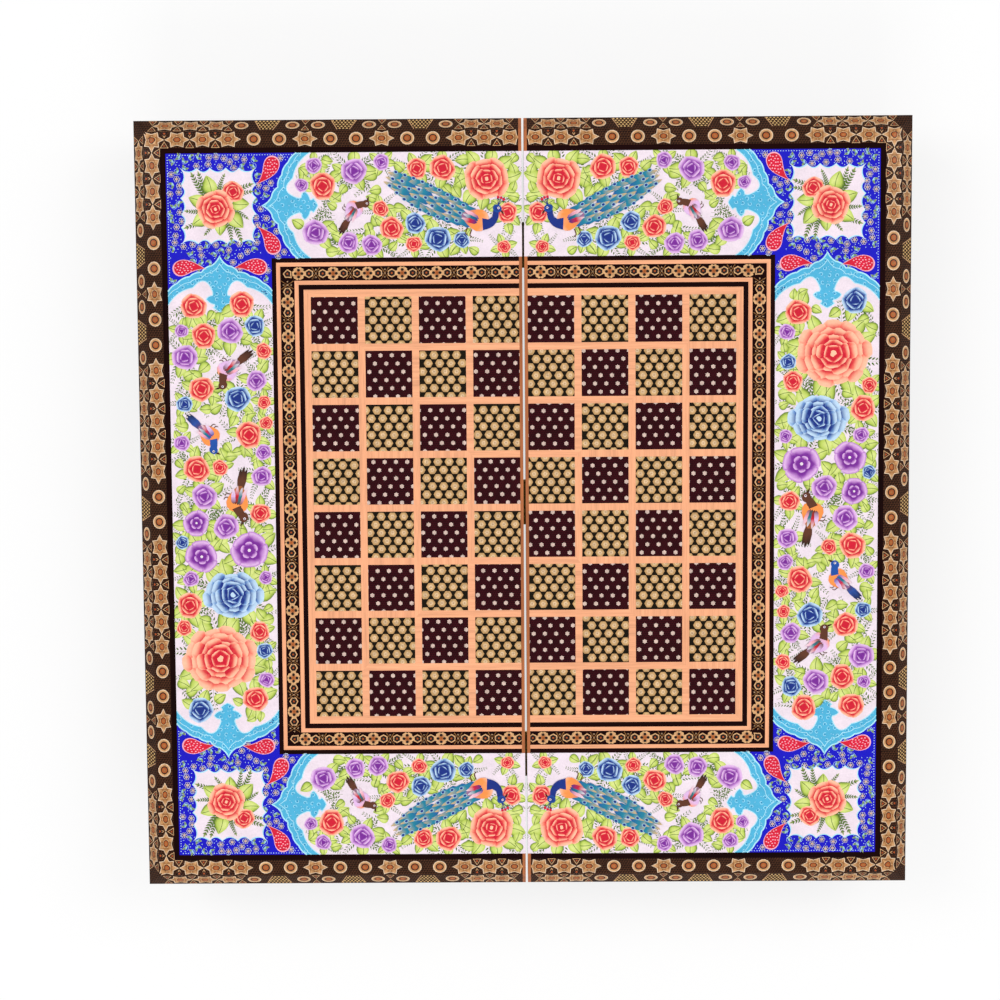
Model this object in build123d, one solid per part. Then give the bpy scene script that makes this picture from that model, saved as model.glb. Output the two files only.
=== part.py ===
"""Inlaid folding backgammon board with a chess field on its outer faces.

Two shallow wooden trays are joined by three butt hinges along their spine rails. Opened flat, the
outer faces make one square chessboard with inlaid and painted borders. Folded shut, the play fields
are inside. The board is modelled open and lying on its rims with the chess face up and the hinge line
along Y. Sizes are in millimetres.
"""

import os

from build123d import *

# Driving dimensions of the whole board
BOARD = 500.0  # side of the open square
HALF_DEPTH = 40.0  # one tray, from its rim to the chess face
SPINE_GAP = 1.4  # between the two spine rails when the board is open
RIM_CLEARANCE = 0.1  # the rims stop this far short of the hinge plane

# Woodwork
RAIL = 14.0  # thickness of the tray's rails
PANEL = 5.0  # core panel under the chess veneers
PANEL_SHOULDER = 4.0  # width of the ledge on which the core panel sits
SPINE_SHOULDER = 8.0
VENEER = 2.0  # thickness of every inlaid layer on the chess face
SIDE_VENEER = 1.0
CAP = 1.5  # inlaid cap on the rims
FIELD = 1.2  # play field veneer

# Edge moulding: an almost flat facet, then a chamfer down to the side
FACET_RUN = 10.5
FACET_DROP = 1.2
CHAMFER = 7.5
MOULDING_HEIGHT = 10.0

# Borders of the chess face, as distances from the board's centre lines
STRING_OUTER = BOARD / 2 - FACET_RUN - CHAMFER
PAINT_OUTER = 228.4
PAINT_INNER = 161.5
LINE_OUTER = 158.6
BAND_OUTER = 156.1
BAND_INNER = 147.0
LINE_INNER = 144.4
CHESS_EDGE = 141.2

# Chess grid
PITCH = 34.7
STRIP = 4.6  # light strips between the squares
FIRST_STRIP = 34.9  # first strip's middle, from the hinge line
SPINE_STRIP = 2.0

# Play field
FIELD_BORDER = 8.0
POINTS = 6  # on each side of one tray
POINT_LENGTH = 168.0
POINT_WIDTH = 25.0
CRADLE_WIDTH = 9.0
CRADLE_DEPTH = 5.0
CHECKER_R = 15.0
MEDALLION_R = 34.0
MEDALLION_TIPS = 12

# Butt hinges
HINGE_PLACES = (-170.0, 0.0, 170.0)
KNUCKLE_R = 2.0
KNUCKLE_RELIEF = 0.3
KNUCKLES = 5
HINGE_LENGTH = 30.0
LEAF_WIDTH = 13.0
LEAF = CAP  # let in flush with the rim cap
LEAF_PLAY = 0.1  # round a leaf in its seat
PIN_R = 0.8
PIN_CLEARANCE = 0.04  # in the right tray's knuckles; the pins are tight in the left ones
KNUCKLE_GAP = 0.15
SCREW_R = 1.1
SCREW_HEAD_R = 2.3
SCREW_LENGTH = 9.0
SCREW_SPACING = 10.0
SCREW_INSET = 8.3  # from the hinge line

# Heights above the lowest point of the knuckles, with the tray on its rim
HINGE_Z = KNUCKLE_R
RIM_Z = HINGE_Z + RIM_CLEARANCE
CAP_TOP = RIM_Z + CAP
TOP_Z = HINGE_Z + HALF_DEPTH
EDGE = BOARD / 2
SPINE_X = SPINE_GAP / 2
INSIDE = EDGE - RAIL
SPINE_INSIDE = SPINE_X + RAIL
PANEL_EDGE = INSIDE + PANEL_SHOULDER
PANEL_TOP = TOP_Z - VENEER
PANEL_BOTTOM = PANEL_TOP - PANEL
FIELD_BOTTOM = PANEL_BOTTOM - FIELD
MOULDING_Z = TOP_Z - MOULDING_HEIGHT
INLAY_X = SPINE_X + SPINE_STRIP  # where every inlaid band starts beside the spine strip


def join(pieces):
    """One node made of several separate solids."""
    return Compound([solid for piece in pieces for solid in piece.solids()])


def slab(x0, x1, y0, y1, z0, z1):
    """A box given by its faces."""
    middle = Pos((x0 + x1) / 2, (y0 + y1) / 2, (z0 + z1) / 2)
    return middle * Box(x1 - x0, y1 - y0, z1 - z0)


def c_band(outer, inner, z0, z1):
    """A flat band round three sides of the half board, open towards the spine."""
    whole = slab(INLAY_X, outer, -outer, outer, z0, z1)
    return whole - slab(INLAY_X - 1, inner, -inner, inner, z0 - 1, z1 + 1)


def long_profile(points, x0, x1):
    """A rail section, as points of (distance outwards, height), run along X on the +Y side."""
    face = make_face(Polyline(*[(0, r, z) for r, z in points], close=True))
    return Pos(x0, 0, 0) * extrude(face, amount=x1 - x0, dir=(1, 0, 0))


def mitred_run(points, x0):
    """The same section round three sides: top, bottom and end pieces, mitred at the two corners."""
    top = long_profile(points, x0, EDGE)
    end = Rot(0, 0, -90) * long_profile(points, -EDGE, EDGE)
    mitre = Plane(origin=(0, 0, 0), z_dir=(-1, 1, 0))
    other_mitre = Plane(origin=(0, 0, 0), z_dir=(-1, -1, 0))
    top = split(top, bisect_by=mitre, keep=Keep.TOP)
    end = split(end, bisect_by=mitre, keep=Keep.BOTTOM)
    end = split(end, bisect_by=other_mitre, keep=Keep.BOTTOM)
    return top, mirror(top, about=Plane.XZ), end


def rail_runs():
    """Top, bottom and end rails, with the ledge for the core panel, and the spine rail between them."""
    section = [
        (INSIDE, CAP_TOP),
        (EDGE - SIDE_VENEER, CAP_TOP),
        (EDGE - SIDE_VENEER, MOULDING_Z),
        (PANEL_EDGE, MOULDING_Z),
        (PANEL_EDGE, PANEL_BOTTOM),
        (INSIDE, PANEL_BOTTOM),
    ]
    top, bottom, end = mitred_run(section, SPINE_X)
    spine = slab(SPINE_X, SPINE_INSIDE, -INSIDE, INSIDE, CAP_TOP, PANEL_TOP)
    ledge_x = SPINE_INSIDE - SPINE_SHOULDER
    spine -= slab(ledge_x, SPINE_INSIDE + 1, -EDGE, EDGE, PANEL_BOTTOM, TOP_Z)
    spine -= hinge_reliefs() + all_screws()
    return {"rail_top": top, "rail_bottom": bottom, "rail_end": end, "rail_spine": spine}


def core_panel():
    """The board under the chess veneers. It sits on the rails' ledges."""
    panel = slab(SPINE_X, PANEL_EDGE, -PANEL_EDGE, PANEL_EDGE, PANEL_BOTTOM, PANEL_TOP)
    over_rail = SPINE_INSIDE - SPINE_SHOULDER
    return panel - slab(SPINE_X - 1, over_rail, -INSIDE, INSIDE, PANEL_BOTTOM - 1, PANEL_TOP + 1)


def edge_moulding():
    """Inlaid moulding round the chess face: a facet that falls gently outwards, then the chamfer."""
    section = [
        (STRING_OUTER, PANEL_TOP),
        (STRING_OUTER, TOP_Z),
        (EDGE - CHAMFER, TOP_Z - FACET_DROP),
        (EDGE, TOP_Z - FACET_DROP - CHAMFER),
        (EDGE, MOULDING_Z),
        (PANEL_EDGE, MOULDING_Z),
        (PANEL_EDGE, PANEL_TOP),
    ]
    return join(mitred_run(section, INLAY_X))


def spine_strip():
    """Thin strip along the hinge side. Its ends follow the moulding down to the side veneers."""
    half = [
        (EDGE, MOULDING_Z),
        (EDGE, TOP_Z - FACET_DROP - CHAMFER),
        (EDGE - CHAMFER, TOP_Z - FACET_DROP),
        (STRING_OUTER, TOP_Z),
    ]
    under = [(PANEL_EDGE, MOULDING_Z), (PANEL_EDGE, PANEL_TOP)]
    outline = half + [(-y, z) for y, z in reversed(half)]
    outline += [(-y, z) for y, z in under] + list(reversed(under))
    return long_profile(outline, SPINE_X, INLAY_X)


def side_veneers():
    """Veneers on the upright sides, between the rim caps and the moulding, mitred like the rails."""
    section = [
        (EDGE - SIDE_VENEER, CAP_TOP),
        (EDGE, CAP_TOP),
        (EDGE, MOULDING_Z),
        (EDGE - SIDE_VENEER, MOULDING_Z),
    ]
    return join(mitred_run(section, SPINE_X))


def rim_caps():
    """Inlaid caps on the rims. The spine cap is cut for the hinge leaves and knuckles."""
    section = [
        (INSIDE, RIM_Z),
        (EDGE, RIM_Z),
        (EDGE, CAP_TOP),
        (INSIDE, CAP_TOP),
    ]
    spine = slab(SPINE_X, SPINE_INSIDE, -INSIDE, INSIDE, RIM_Z, CAP_TOP)
    return join([*mitred_run(section, SPINE_X), spine - hinge_reliefs()])


def chess_square(column, row, z0, z1):
    """One square. Column 0 lies beside the spine and row 0 just above the board's middle."""
    outer_x = FIRST_STRIP + column * PITCH - STRIP / 2
    inner_x = INLAY_X if column == 0 else outer_x - (PITCH - STRIP)
    y0 = row * PITCH + STRIP / 2
    return slab(inner_x, outer_x, y0, y0 + PITCH - STRIP, z0, z1)


def chess_squares(parity):
    """The squares of one colour on one half board."""
    places = [(c, r) for c in range(4) for r in range(-4, 4) if (c + r) % 2 == parity]
    return join([chess_square(c, r, PANEL_TOP, TOP_Z) for c, r in places])


def chess_lattice():
    """The light strips between and round the squares, in one piece."""
    lattice = slab(INLAY_X, CHESS_EDGE, -CHESS_EDGE, CHESS_EDGE, PANEL_TOP, TOP_Z)
    holes = [chess_square(c, r, PANEL_TOP - 1, TOP_Z + 1) for c in range(4) for r in range(-4, 4)]
    return lattice - holes


def point_outline(x, side, grow=0.0):
    """A lancet: straight at its foot, with two long arcs that meet in its tip."""
    half = POINT_WIDTH / 2 + grow
    foot = side * (INSIDE - FIELD_BORDER)
    shoulder = foot - side * POINT_LENGTH * 0.12
    tip = foot - side * POINT_LENGTH
    waist = (shoulder + tip) / 2
    bulge = half * 0.68
    edges = [
        Line((x - half, foot), (x + half, foot)),
        Line((x + half, foot), (x + half, shoulder)),
        ThreePointArc((x + half, shoulder), (x + bulge, waist), (x, tip)),
        ThreePointArc((x, tip), (x - bulge, waist), (x - half, shoulder)),
        Line((x - half, shoulder), (x - half, foot)),
    ]
    return make_face(edges)


def point_places():
    """Middle of each point along the rail, from the spine outwards."""
    first = SPINE_INSIDE + FIELD_BORDER
    step = (INSIDE - FIELD_BORDER - first) / POINTS
    return [first + step * (n + 0.5) for n in range(POINTS)]


def field_points(parity):
    """Every second point. The two sides alternate, so that facing points differ."""
    faces = [
        point_outline(x, side)
        for side in (1, -1)
        for n, x in enumerate(point_places())
        if (n + (side > 0)) % 2 == parity
    ]
    return join([Pos(0, 0, FIELD_BOTTOM) * extrude(f, amount=FIELD) for f in faces])


def medallion():
    """Star inlaid in the middle of the play field."""
    middle = (SPINE_INSIDE + INSIDE) / 2
    radii = (MEDALLION_R, MEDALLION_R * 0.72)
    corners = [
        Vector(radii[n % 2], 0).rotate(Axis.Z, n * 180 / MEDALLION_TIPS) for n in range(2 * MEDALLION_TIPS)
    ]
    star = make_face(Polyline(*corners, close=True))
    return Pos(middle, 0, FIELD_BOTTOM) * extrude(star, amount=FIELD)


def field_frame():
    """Inlaid frame round the play field."""
    whole = slab(SPINE_INSIDE, INSIDE, -INSIDE, INSIDE, FIELD_BOTTOM, PANEL_BOTTOM)
    b = FIELD_BORDER
    return whole - slab(
        SPINE_INSIDE + b, INSIDE - b, -INSIDE + b, INSIDE - b, FIELD_BOTTOM - 1, PANEL_BOTTOM + 1
    )


def field_veneer():
    """Play field inside the frame, with openings in which the points and the star lie flush."""
    b = FIELD_BORDER
    ground = slab(SPINE_INSIDE + b, INSIDE - b, -INSIDE + b, INSIDE - b, FIELD_BOTTOM, PANEL_BOTTOM)
    return ground - field_points(0) - field_points(1) - medallion()


def checker_cradles():
    """Strips along the top and bottom rails, scalloped so that the first checker of a point lies in them."""
    x0, x1 = SPINE_INSIDE, INSIDE
    y1 = INSIDE
    z0 = FIELD_BOTTOM - CRADLE_DEPTH
    strip = slab(x0, x1, y1 - CRADLE_WIDTH, y1, z0, FIELD_BOTTOM)
    reach = CHECKER_R - CRADLE_WIDTH * 0.6
    for x in point_places():
        strip -= Pos(x, y1 - CRADLE_WIDTH - reach, z0 + CRADLE_DEPTH / 2) * Cylinder(CHECKER_R, CRADLE_DEPTH * 2)
    return join([strip, mirror(strip, about=Plane.XZ)])


def lying_cylinder(radius, length, y):
    """A cylinder on the hinge line."""
    return Pos(0, y, HINGE_Z) * Rot(90, 0, 0) * Cylinder(radius, length)


def hinge_reliefs():
    """What the hinges need cut away: a round groove for the knuckles and a shallow seat for each leaf."""
    cuts = []
    for y in HINGE_PLACES:
        long = HINGE_LENGTH + 2 * KNUCKLE_GAP
        cuts.append(lying_cylinder(KNUCKLE_R + KNUCKLE_RELIEF, long, y))
        cuts.append(slab(0, LEAF_WIDTH + LEAF_PLAY, y - long / 2, y + long / 2, 0, RIM_Z + LEAF))
    return cuts


def knuckle_slots(y, mine):
    """Where the knuckles of one leaf sit, as (start, end). The left tray has the odd ones."""
    step = HINGE_LENGTH / KNUCKLES
    starts = [y - HINGE_LENGTH / 2 + n * step for n in range(KNUCKLES) if (n % 2 == 0) == mine]
    return [(s + KNUCKLE_GAP / 2, s + step - KNUCKLE_GAP / 2) for s in starts]


def screw_places(y):
    return [(SCREW_INSET, y + n * SCREW_SPACING) for n in (-1, 0, 1)]


def hinge_leaf(y, left):
    """One leaf: a plate let into the rim, its knuckles on the hinge line, and three countersunk holes."""
    plate = slab(0, LEAF_WIDTH, y - HINGE_LENGTH / 2, y + HINGE_LENGTH / 2, RIM_Z, RIM_Z + LEAF)
    for start, end in knuckle_slots(y, not left):
        middle, long = (start + end) / 2, end - start + 2 * KNUCKLE_GAP
        plate -= lying_cylinder(KNUCKLE_R + KNUCKLE_RELIEF, long, middle)
        plate -= slab(-1, KNUCKLE_R, middle - long / 2, middle + long / 2, 0, HINGE_Z + 2 * LEAF)
    for start, end in knuckle_slots(y, left):
        plate += lying_cylinder(KNUCKLE_R, end - start, (start + end) / 2)
    bore = PIN_R if left else PIN_R + PIN_CLEARANCE
    return plate - lying_cylinder(bore, HINGE_LENGTH + 2, y) - [wood_screw(*p) for p in screw_places(y)]


def wood_screw(x, y):
    """Countersunk screw, its head flush with the leaf and its shank in the spine rail."""
    head = Cone(SCREW_HEAD_R, SCREW_R, LEAF)
    shank = Cylinder(SCREW_R, SCREW_LENGTH - LEAF)
    return Pos(x, y, RIM_Z + LEAF / 2) * head + Pos(x, y, RIM_Z + (SCREW_LENGTH + LEAF) / 2) * shank


def all_screws():
    return [wood_screw(*place) for y in HINGE_PLACES for place in screw_places(y)]


def half_board(left):
    """All the pieces of one tray, modelled on the +X side."""
    pieces = {
        **rail_runs(),
        "core_panel": core_panel(),
        "edge_moulding": edge_moulding(),
        "side_veneers": side_veneers(),
        "rim_caps": rim_caps(),
        "outer_stringing": c_band(STRING_OUTER, PAINT_OUTER, PANEL_TOP, TOP_Z),
        "painted_panel": c_band(PAINT_OUTER, PAINT_INNER, PANEL_TOP, TOP_Z),
        "middle_stringing": c_band(PAINT_INNER, LINE_OUTER, PANEL_TOP, TOP_Z),
        "border_line_outer": c_band(LINE_OUTER, BAND_OUTER, PANEL_TOP, TOP_Z),
        "inlay_band": c_band(BAND_OUTER, BAND_INNER, PANEL_TOP, TOP_Z),
        "border_line_inner": c_band(BAND_INNER, LINE_INNER, PANEL_TOP, TOP_Z),
        "inner_stringing": c_band(LINE_INNER, CHESS_EDGE, PANEL_TOP, TOP_Z),
        "chess_lattice": chess_lattice(),
        "dark_squares": chess_squares(0 if left else 1),
        "light_squares": chess_squares(1 if left else 0),
        "spine_strip": spine_strip(),
        "field_veneer": field_veneer(),
        "field_frame": field_frame(),
        "field_points_dark": field_points(0),
        "field_points_light": field_points(1),
        "field_medallion": medallion(),
        "checker_cradles": checker_cradles(),
        "hinge_leaves": join([hinge_leaf(y, left) for y in HINGE_PLACES]),
        "hinge_screws": join(all_screws()),
    }
    return pieces


def main():
    os.makedirs("parts", exist_ok=True)
    nodes = {}
    for side, left in (("left", True), ("right", False)):
        for name, shape in half_board(left).items():
            nodes[f"{side}_{name}"] = mirror(shape, about=Plane.YZ) if left else shape
    nodes["hinge_pins"] = join([lying_cylinder(PIN_R, HINGE_LENGTH, y) for y in HINGE_PLACES])
    for name, shape in nodes.items():
        export_step(shape, f"parts/{name}.step")


main()
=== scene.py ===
"""Inlaid folding game board: lacquered inlay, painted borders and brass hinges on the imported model.

The motifs are low closed reliefs, a few hundredths of a millimetre high, worked out for the right half.
The board looks the same turned half round, so the left half is the right one turned by 180 degrees.
Sizes in the formulas are millimetres, and meshes are written in metres.
"""

import math
from types import SimpleNamespace

import bpy
import numpy as np
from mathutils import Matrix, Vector
from mathutils.geometry import tessellate_polygon


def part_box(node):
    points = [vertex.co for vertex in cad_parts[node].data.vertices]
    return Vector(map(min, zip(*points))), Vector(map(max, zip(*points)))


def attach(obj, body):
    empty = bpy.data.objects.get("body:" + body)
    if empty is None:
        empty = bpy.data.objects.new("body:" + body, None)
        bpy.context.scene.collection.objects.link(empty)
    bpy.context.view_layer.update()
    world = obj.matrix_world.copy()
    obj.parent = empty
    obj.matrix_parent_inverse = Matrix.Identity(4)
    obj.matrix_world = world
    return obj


bl_info = {
    "name": "Inlaid Board",
    "version": (1, 0, 0),
    "blender": (4, 5, 0),
    "location": "View3D > Sidebar > Inlaid Board",
    "description": "Lacquered inlay, painted borders and hinges of a folding game board",
    "category": "Add Mesh",
}

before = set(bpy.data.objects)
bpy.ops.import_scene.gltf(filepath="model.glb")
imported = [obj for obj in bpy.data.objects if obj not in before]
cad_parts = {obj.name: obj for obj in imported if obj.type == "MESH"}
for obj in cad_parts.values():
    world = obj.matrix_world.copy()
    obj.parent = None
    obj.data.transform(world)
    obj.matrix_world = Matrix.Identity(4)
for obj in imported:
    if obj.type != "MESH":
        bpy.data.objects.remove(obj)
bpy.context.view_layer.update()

MM = 0.001
HALVES = (("right", 1.0), ("left", -1.0))


def reach(node, side=1, axis=0):
    """Where a CAD node begins (side 0) or ends (side 1) along an axis, in millimetres."""
    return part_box(node)[side][axis] / MM


FACE_Z = reach("right_painted_panel", 1, 2)
INLAY_X = reach("right_painted_panel", 0, 0)
STRING_OUTER = reach("right_outer_stringing")
PAINT_OUTER = reach("right_painted_panel")
PAINT_INNER = reach("right_middle_stringing")
BAND_OUTER = reach("right_inlay_band")
BAND_INNER = reach("right_border_line_inner")
BOARD_EDGE = reach("right_edge_moulding")
PANEL_MIDDLE = (PAINT_OUTER + PAINT_INNER) / 2
PANEL_HALF = (PAINT_OUTER - PAINT_INNER) / 2

# Edge moulding in section: a facet that falls gently outwards, then a chamfer at 45 degrees
CHAMFER = 7.5
FACET_DROP = 1.2
FACET_RUN = BOARD_EDGE - CHAMFER - STRING_OUTER
FACET = math.hypot(FACET_RUN, FACET_DROP)

# Heights of the painted layers above the face
GROUND = 0.03
SCROLL = 0.07
LEAF_LAYER = 0.11
BLOOM_LAYER = 0.17

# How high a shape is domed above the layer that it lies on
LOW_DOME = 0.02
DOME = 0.03
HIGH_DOME = 0.04

TURN = 6.28  # a full turn, for angles drawn at random


def linear(colour):
    """sRGB hex, such as "#C0A060", as linear red, green and blue."""
    srgb = np.array([int(colour[i : i + 2], 16) for i in (1, 3, 5)]) / 255.0
    return np.where(srgb <= 0.04045, srgb / 12.92, ((srgb + 0.055) / 1.055) ** 2.4)


# Pigments and woods
PIGMENTS = {
    "cobalt_deep": "#080670",
    "turquoise_pale": "#A8DCEC",
    "turquoise_deep": "#2A88AC",
    "pink": "#F2A8B8",
    "coral": "#FFBC9C",
    "coral_mid": "#F06858",
    "crimson": "#C81830",
    "blue_pale": "#BCD6EC",
    "blue_mid": "#5C88C4",
    "navy": "#142C7C",
    "lilac": "#DCB4E0",
    "purple_mid": "#B070C0",
    "purple": "#742890",
    "leaf": "#B4C858",
    "leaf_pale": "#D8E08C",
    "leaf_deep": "#4C6820",
    "fern": "#5E7430",
    "fern_pale": "#A4B070",
    "gold": "#D8B070",
    "tan": "#CFA070",
    "tan_deep": "#A06C3C",
    "bone": "#DCC0A0",
    "disc_tan": "#DCB884",
    "disc_edge": "#B08858",
    "ink": "#140806",
    "brown": "#5A3220",
    "rust": "#A04818",
    "grey_pink": "#C8B0A4",
    "teal": "#147684",
    "orange": "#F49048",
    "feather_blue": "#1C4C9C",
}


def pigment(name):
    """Linear colour of a pigment, from the add-on's settings where a user can change it."""
    settings = bpy.context.scene.board_colours
    return np.array(getattr(settings, name)) if hasattr(settings, name) else linear(PIGMENTS[name])


class Layer:
    """Collects closed relief shapes as arrays and writes them as one mesh for each half."""

    def __init__(self):
        self.points, self.faces, self.colours, self.count = [], [], [], 0

    def add(self, points, faces, colours):
        """points and colours are N shapes by V vertices by 3, and faces index the vertices of one shape."""
        shapes, corners = points.shape[:2]
        offsets = self.count + corners * np.arange(shapes)[:, None, None]
        self.faces.append((faces[None] + offsets).reshape(-1, 3))
        self.points.append(points.reshape(-1, 3))
        self.colours.append(np.broadcast_to(colours, points.shape).reshape(-1, 3))
        self.count += shapes * corners

    def mirror(self):
        """Adds everything so far once more, mirrored about the board's middle line (y to -y)."""
        points, faces, colours = (np.concatenate(a) for a in (self.points, self.faces, self.colours))
        self.points.append(points * (1.0, -1.0, 1.0))
        self.faces.append(faces[:, ::-1] + self.count)
        self.colours.append(colours)
        self.count *= 2

    def clamp(self, low_x, high_x, low_y, high_y):
        """Cuts everything so far off at the edges of a panel."""
        low, high = (low_x, low_y, 0.0), (high_x, high_y, 1000.0)
        self.points = [np.clip(points, low, high) for points in self.points]

    def write(self, name, surface, slot):
        points = np.concatenate(self.points) * MM
        faces = np.concatenate(self.faces)
        colours = np.concatenate(self.colours)
        for half, turn in HALVES:
            placed = points * (turn, turn, 1.0)
            new_piece(f"{half}_{name}", placed, faces, colours, surface, f"{half}_half")


def new_piece(name, points, faces, colours, surface, body):
    """Writes vertices, triangles and vertex colours, given as arrays, into a mesh that rides on a body."""
    mesh = bpy.data.meshes.new(name)
    mesh.vertices.add(len(points))
    mesh.vertices.foreach_set("co", points.astype(np.float32).ravel())
    mesh.loops.add(faces.size)
    mesh.loops.foreach_set("vertex_index", faces.astype(np.int32).ravel())
    mesh.polygons.add(len(faces))
    mesh.polygons.foreach_set("loop_start", np.arange(0, faces.size, 3, dtype=np.int32))
    mesh.polygons.foreach_set("use_smooth", np.zeros(len(faces), bool))
    mesh.update(calc_edges=True)
    paint = np.column_stack([colours, np.ones(len(colours))]).astype(np.float32)
    mesh.color_attributes.new("paint", "FLOAT_COLOR", "POINT").data.foreach_set("color", paint.ravel())
    mesh.materials.append(surface)
    mesh.validate()
    piece = bpy.data.objects.new(name, mesh)
    bpy.context.scene.collection.objects.link(piece)
    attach(piece, body)


# Unit shapes: an outline round a middle point, with rings between them


def signed_area(outline):
    """Twice the area inside a closed outline, the sum of x y' - x' y: negative where it runs clockwise."""
    x, y = outline.T
    return np.sum(x * np.roll(y, -1) - y * np.roll(x, -1))


def relief(outline, middle=(0.0, 0.0), rings=(0.55, 1.0), fade=None):
    """A low dome over an outline. Ring r lies at middle + r (outline - middle), and rises as 1 - r^4.
    fade is the colour's place between its stops, from a vertex's x, y and r, by default r squared."""
    middle = np.asarray(middle, float)
    corners = len(outline)
    flat = [middle[None]] + [middle + r * (outline - middle) for r in rings] + [middle[None]]
    radius = np.concatenate([[0.0], np.repeat(rings, corners), [1.0]])
    flat = np.concatenate(flat)
    here = np.arange(corners)
    there = (here + 1) % corners
    faces = [np.column_stack([0 * here, 1 + here, 1 + there])]
    for ring in range(len(rings) - 1):
        a, b = 1 + ring * corners, 1 + (ring + 1) * corners
        faces.append(np.column_stack([a + here, b + here, b + there]))
        faces.append(np.column_stack([a + here, b + there, a + there]))
    last, foot = 1 + (len(rings) - 1) * corners, 1 + len(rings) * corners
    faces.append(np.column_stack([foot + 0 * here, last + there, last + here]))
    faces = np.concatenate(faces)
    if signed_area(outline) < 0:
        faces = faces[:, ::-1]
    blend = radius**2 if fade is None else np.clip(fade(flat[:, 0], flat[:, 1], radius), 0.0, 1.0)
    return {"flat": flat, "rise": 1 - radius**4, "blend": blend, "faces": faces}


def around(corners, phase=0.0):
    """Evenly spaced angles over one turn."""
    return phase + np.linspace(0, 2 * np.pi, corners, endpoint=False)


def disc_outline(corners=10, phase=0.0):
    """Circle: (cos t, sin t)."""
    t = around(corners, phase)
    return np.column_stack([np.cos(t), np.sin(t)])


def lobed_outline(lobes=6, depth=0.07):
    """Round rosette: r = 1 - depth + depth cos(lobes t), three points to a lobe."""
    t = around(3 * lobes)
    r = 1 - depth + depth * np.cos(lobes * t)
    return np.column_stack([r * np.cos(t), r * np.sin(t)])


def star_outline(points, inner):
    """Star: radius 1 and inner in turn."""
    t = around(2 * points)
    r = np.where(np.arange(2 * points) % 2 == 0, 1.0, inner)
    return np.column_stack([r * np.cos(t), r * np.sin(t)])


def petal_outline(corners=14, notch=0.10):
    """From its foot at 0 to its tip at 1: x = (1 - cos t) / 2 less a notch at the tip, and
    y = 0.55 sin t (0.35 + 0.75 x)."""
    t = around(corners)
    x = (1 - np.cos(t)) / 2
    tip = np.exp(-(((t - np.pi) / 0.35) ** 2))
    return np.column_stack([x - notch * tip, 0.55 * np.sin(t) * (0.35 + 0.75 * x)])


def leaf_outline(corners=12):
    """From its stalk at 0 to its tip at 1: x = (1 - cos t) / 2, y = 0.5 sin t times the root of (1.05 - x)."""
    t = around(corners)
    x = (1 - np.cos(t)) / 2
    return np.column_stack([x, 0.5 * np.sin(t) * np.sqrt(np.clip(1.05 - x, 0, None))])


def paisley_outline(corners=26):
    """Teardrop x = cos t, y = sin t (sin t/2)^1.6, bent past x = -0.2 by 0.55 (x + 0.2)^1.8."""
    t = around(corners)
    x = np.cos(t)
    y = np.sin(t) * np.abs(np.sin(t / 2)) ** 1.6
    return np.column_stack([x, y + 0.55 * np.clip(x + 0.2, 0.0, None) ** 1.8])


SHAPES = {
    "dot": relief(disc_outline(8), rings=(1.0,)),
    "disc": relief(disc_outline(14)),
    "hexagon": relief(disc_outline(6, np.pi / 6), rings=(0.86, 1.0)),
    "lobed": relief(lobed_outline(), rings=(1.0,)),
    "rosette": relief(star_outline(6, 0.78), rings=(1.0,)),
    "star6": relief(star_outline(6, 0.64), rings=(1.0,)),
    "petal": relief(petal_outline(), (0.45, 0), (0.62, 1.0), lambda x, y, r: 1.25 * x - 0.28 + 0.25 * r**3),
    "round_petal": relief(
        petal_outline(16, 0.0), (0.5, 0), (0.7, 1.0), lambda x, y, r: 0.95 * x**1.4 + 0.15 * r**3 - 0.05
    ),
    "rim_petal": relief(
        petal_outline(16, 0.03), (0.5, 0), (0.45, 0.78, 1.0),
        lambda x, y, r: 2.3 * (x - 0.57) + 1.2 * (r - 0.74) * (r > 0.74),
    ),
    "leaf": relief(
        leaf_outline(14), (0.45, 0), (0.62, 1.0), lambda x, y, r: 0.85 - 0.75 * r**3 + 0.9 * y + 0.15 * x
    ),
    "triangle": relief(disc_outline(3), rings=(1.0,)),
    "leaflet": relief(leaf_outline(8), (0.45, 0), (1.0,), lambda x, y, r: x),
    "paisley": relief(paisley_outline(), (-0.25, 0.0), (0.5, 1.0)),
}


def on_face(x, y, h):
    """Board plane: the height is above the chess face."""
    return np.stack([x, y, FACE_Z + h], axis=-1)


def on_moulding(run):
    """Where a point of the moulding lies. s runs along the side and c across it, from the inner edge outwards
    along the facet and down the chamfer. Points past a mitre or the spine strip are brought back to it."""

    def place(s, c, h):
        down = np.clip(c - FACET, 0.0, None) / math.sqrt(2)
        w = STRING_OUTER + np.minimum(c, FACET) * FACET_RUN / FACET + down
        w = np.minimum(w, BOARD_EDGE)
        z = FACE_Z - np.minimum(c, FACET) * FACET_DROP / FACET - down + np.where(c > FACET, h / math.sqrt(2), h)
        out = w + np.where(c > FACET, h / math.sqrt(2), 0.0)
        if run == "end":
            return np.stack([out, np.clip(s, -w, w), z], axis=-1)
        sign = 1.0 if run == "top" else -1.0
        return np.stack([np.clip(s, INLAY_X, w), sign * out, z], axis=-1)

    return place


def on_band(run):
    """Where a point of a flat border lies: s along the side, w its distance from the board's centre line."""

    def place(s, w, h):
        if run == "end":
            return np.stack([w, np.clip(s, -w, w), FACE_Z + h], axis=-1)
        sign = 1.0 if run == "top" else -1.0
        return np.stack([np.clip(s, INLAY_X, w), sign * w, FACE_Z + h], axis=-1)

    return place


def turned(x, y, angle, u, v):
    """Board places of local ones: x + u cos - v sin, and y + u sin + v cos."""
    cos, sin = np.cos(angle), np.sin(angle)
    return x + u * cos - v * sin, y + u * sin + v * cos


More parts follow.
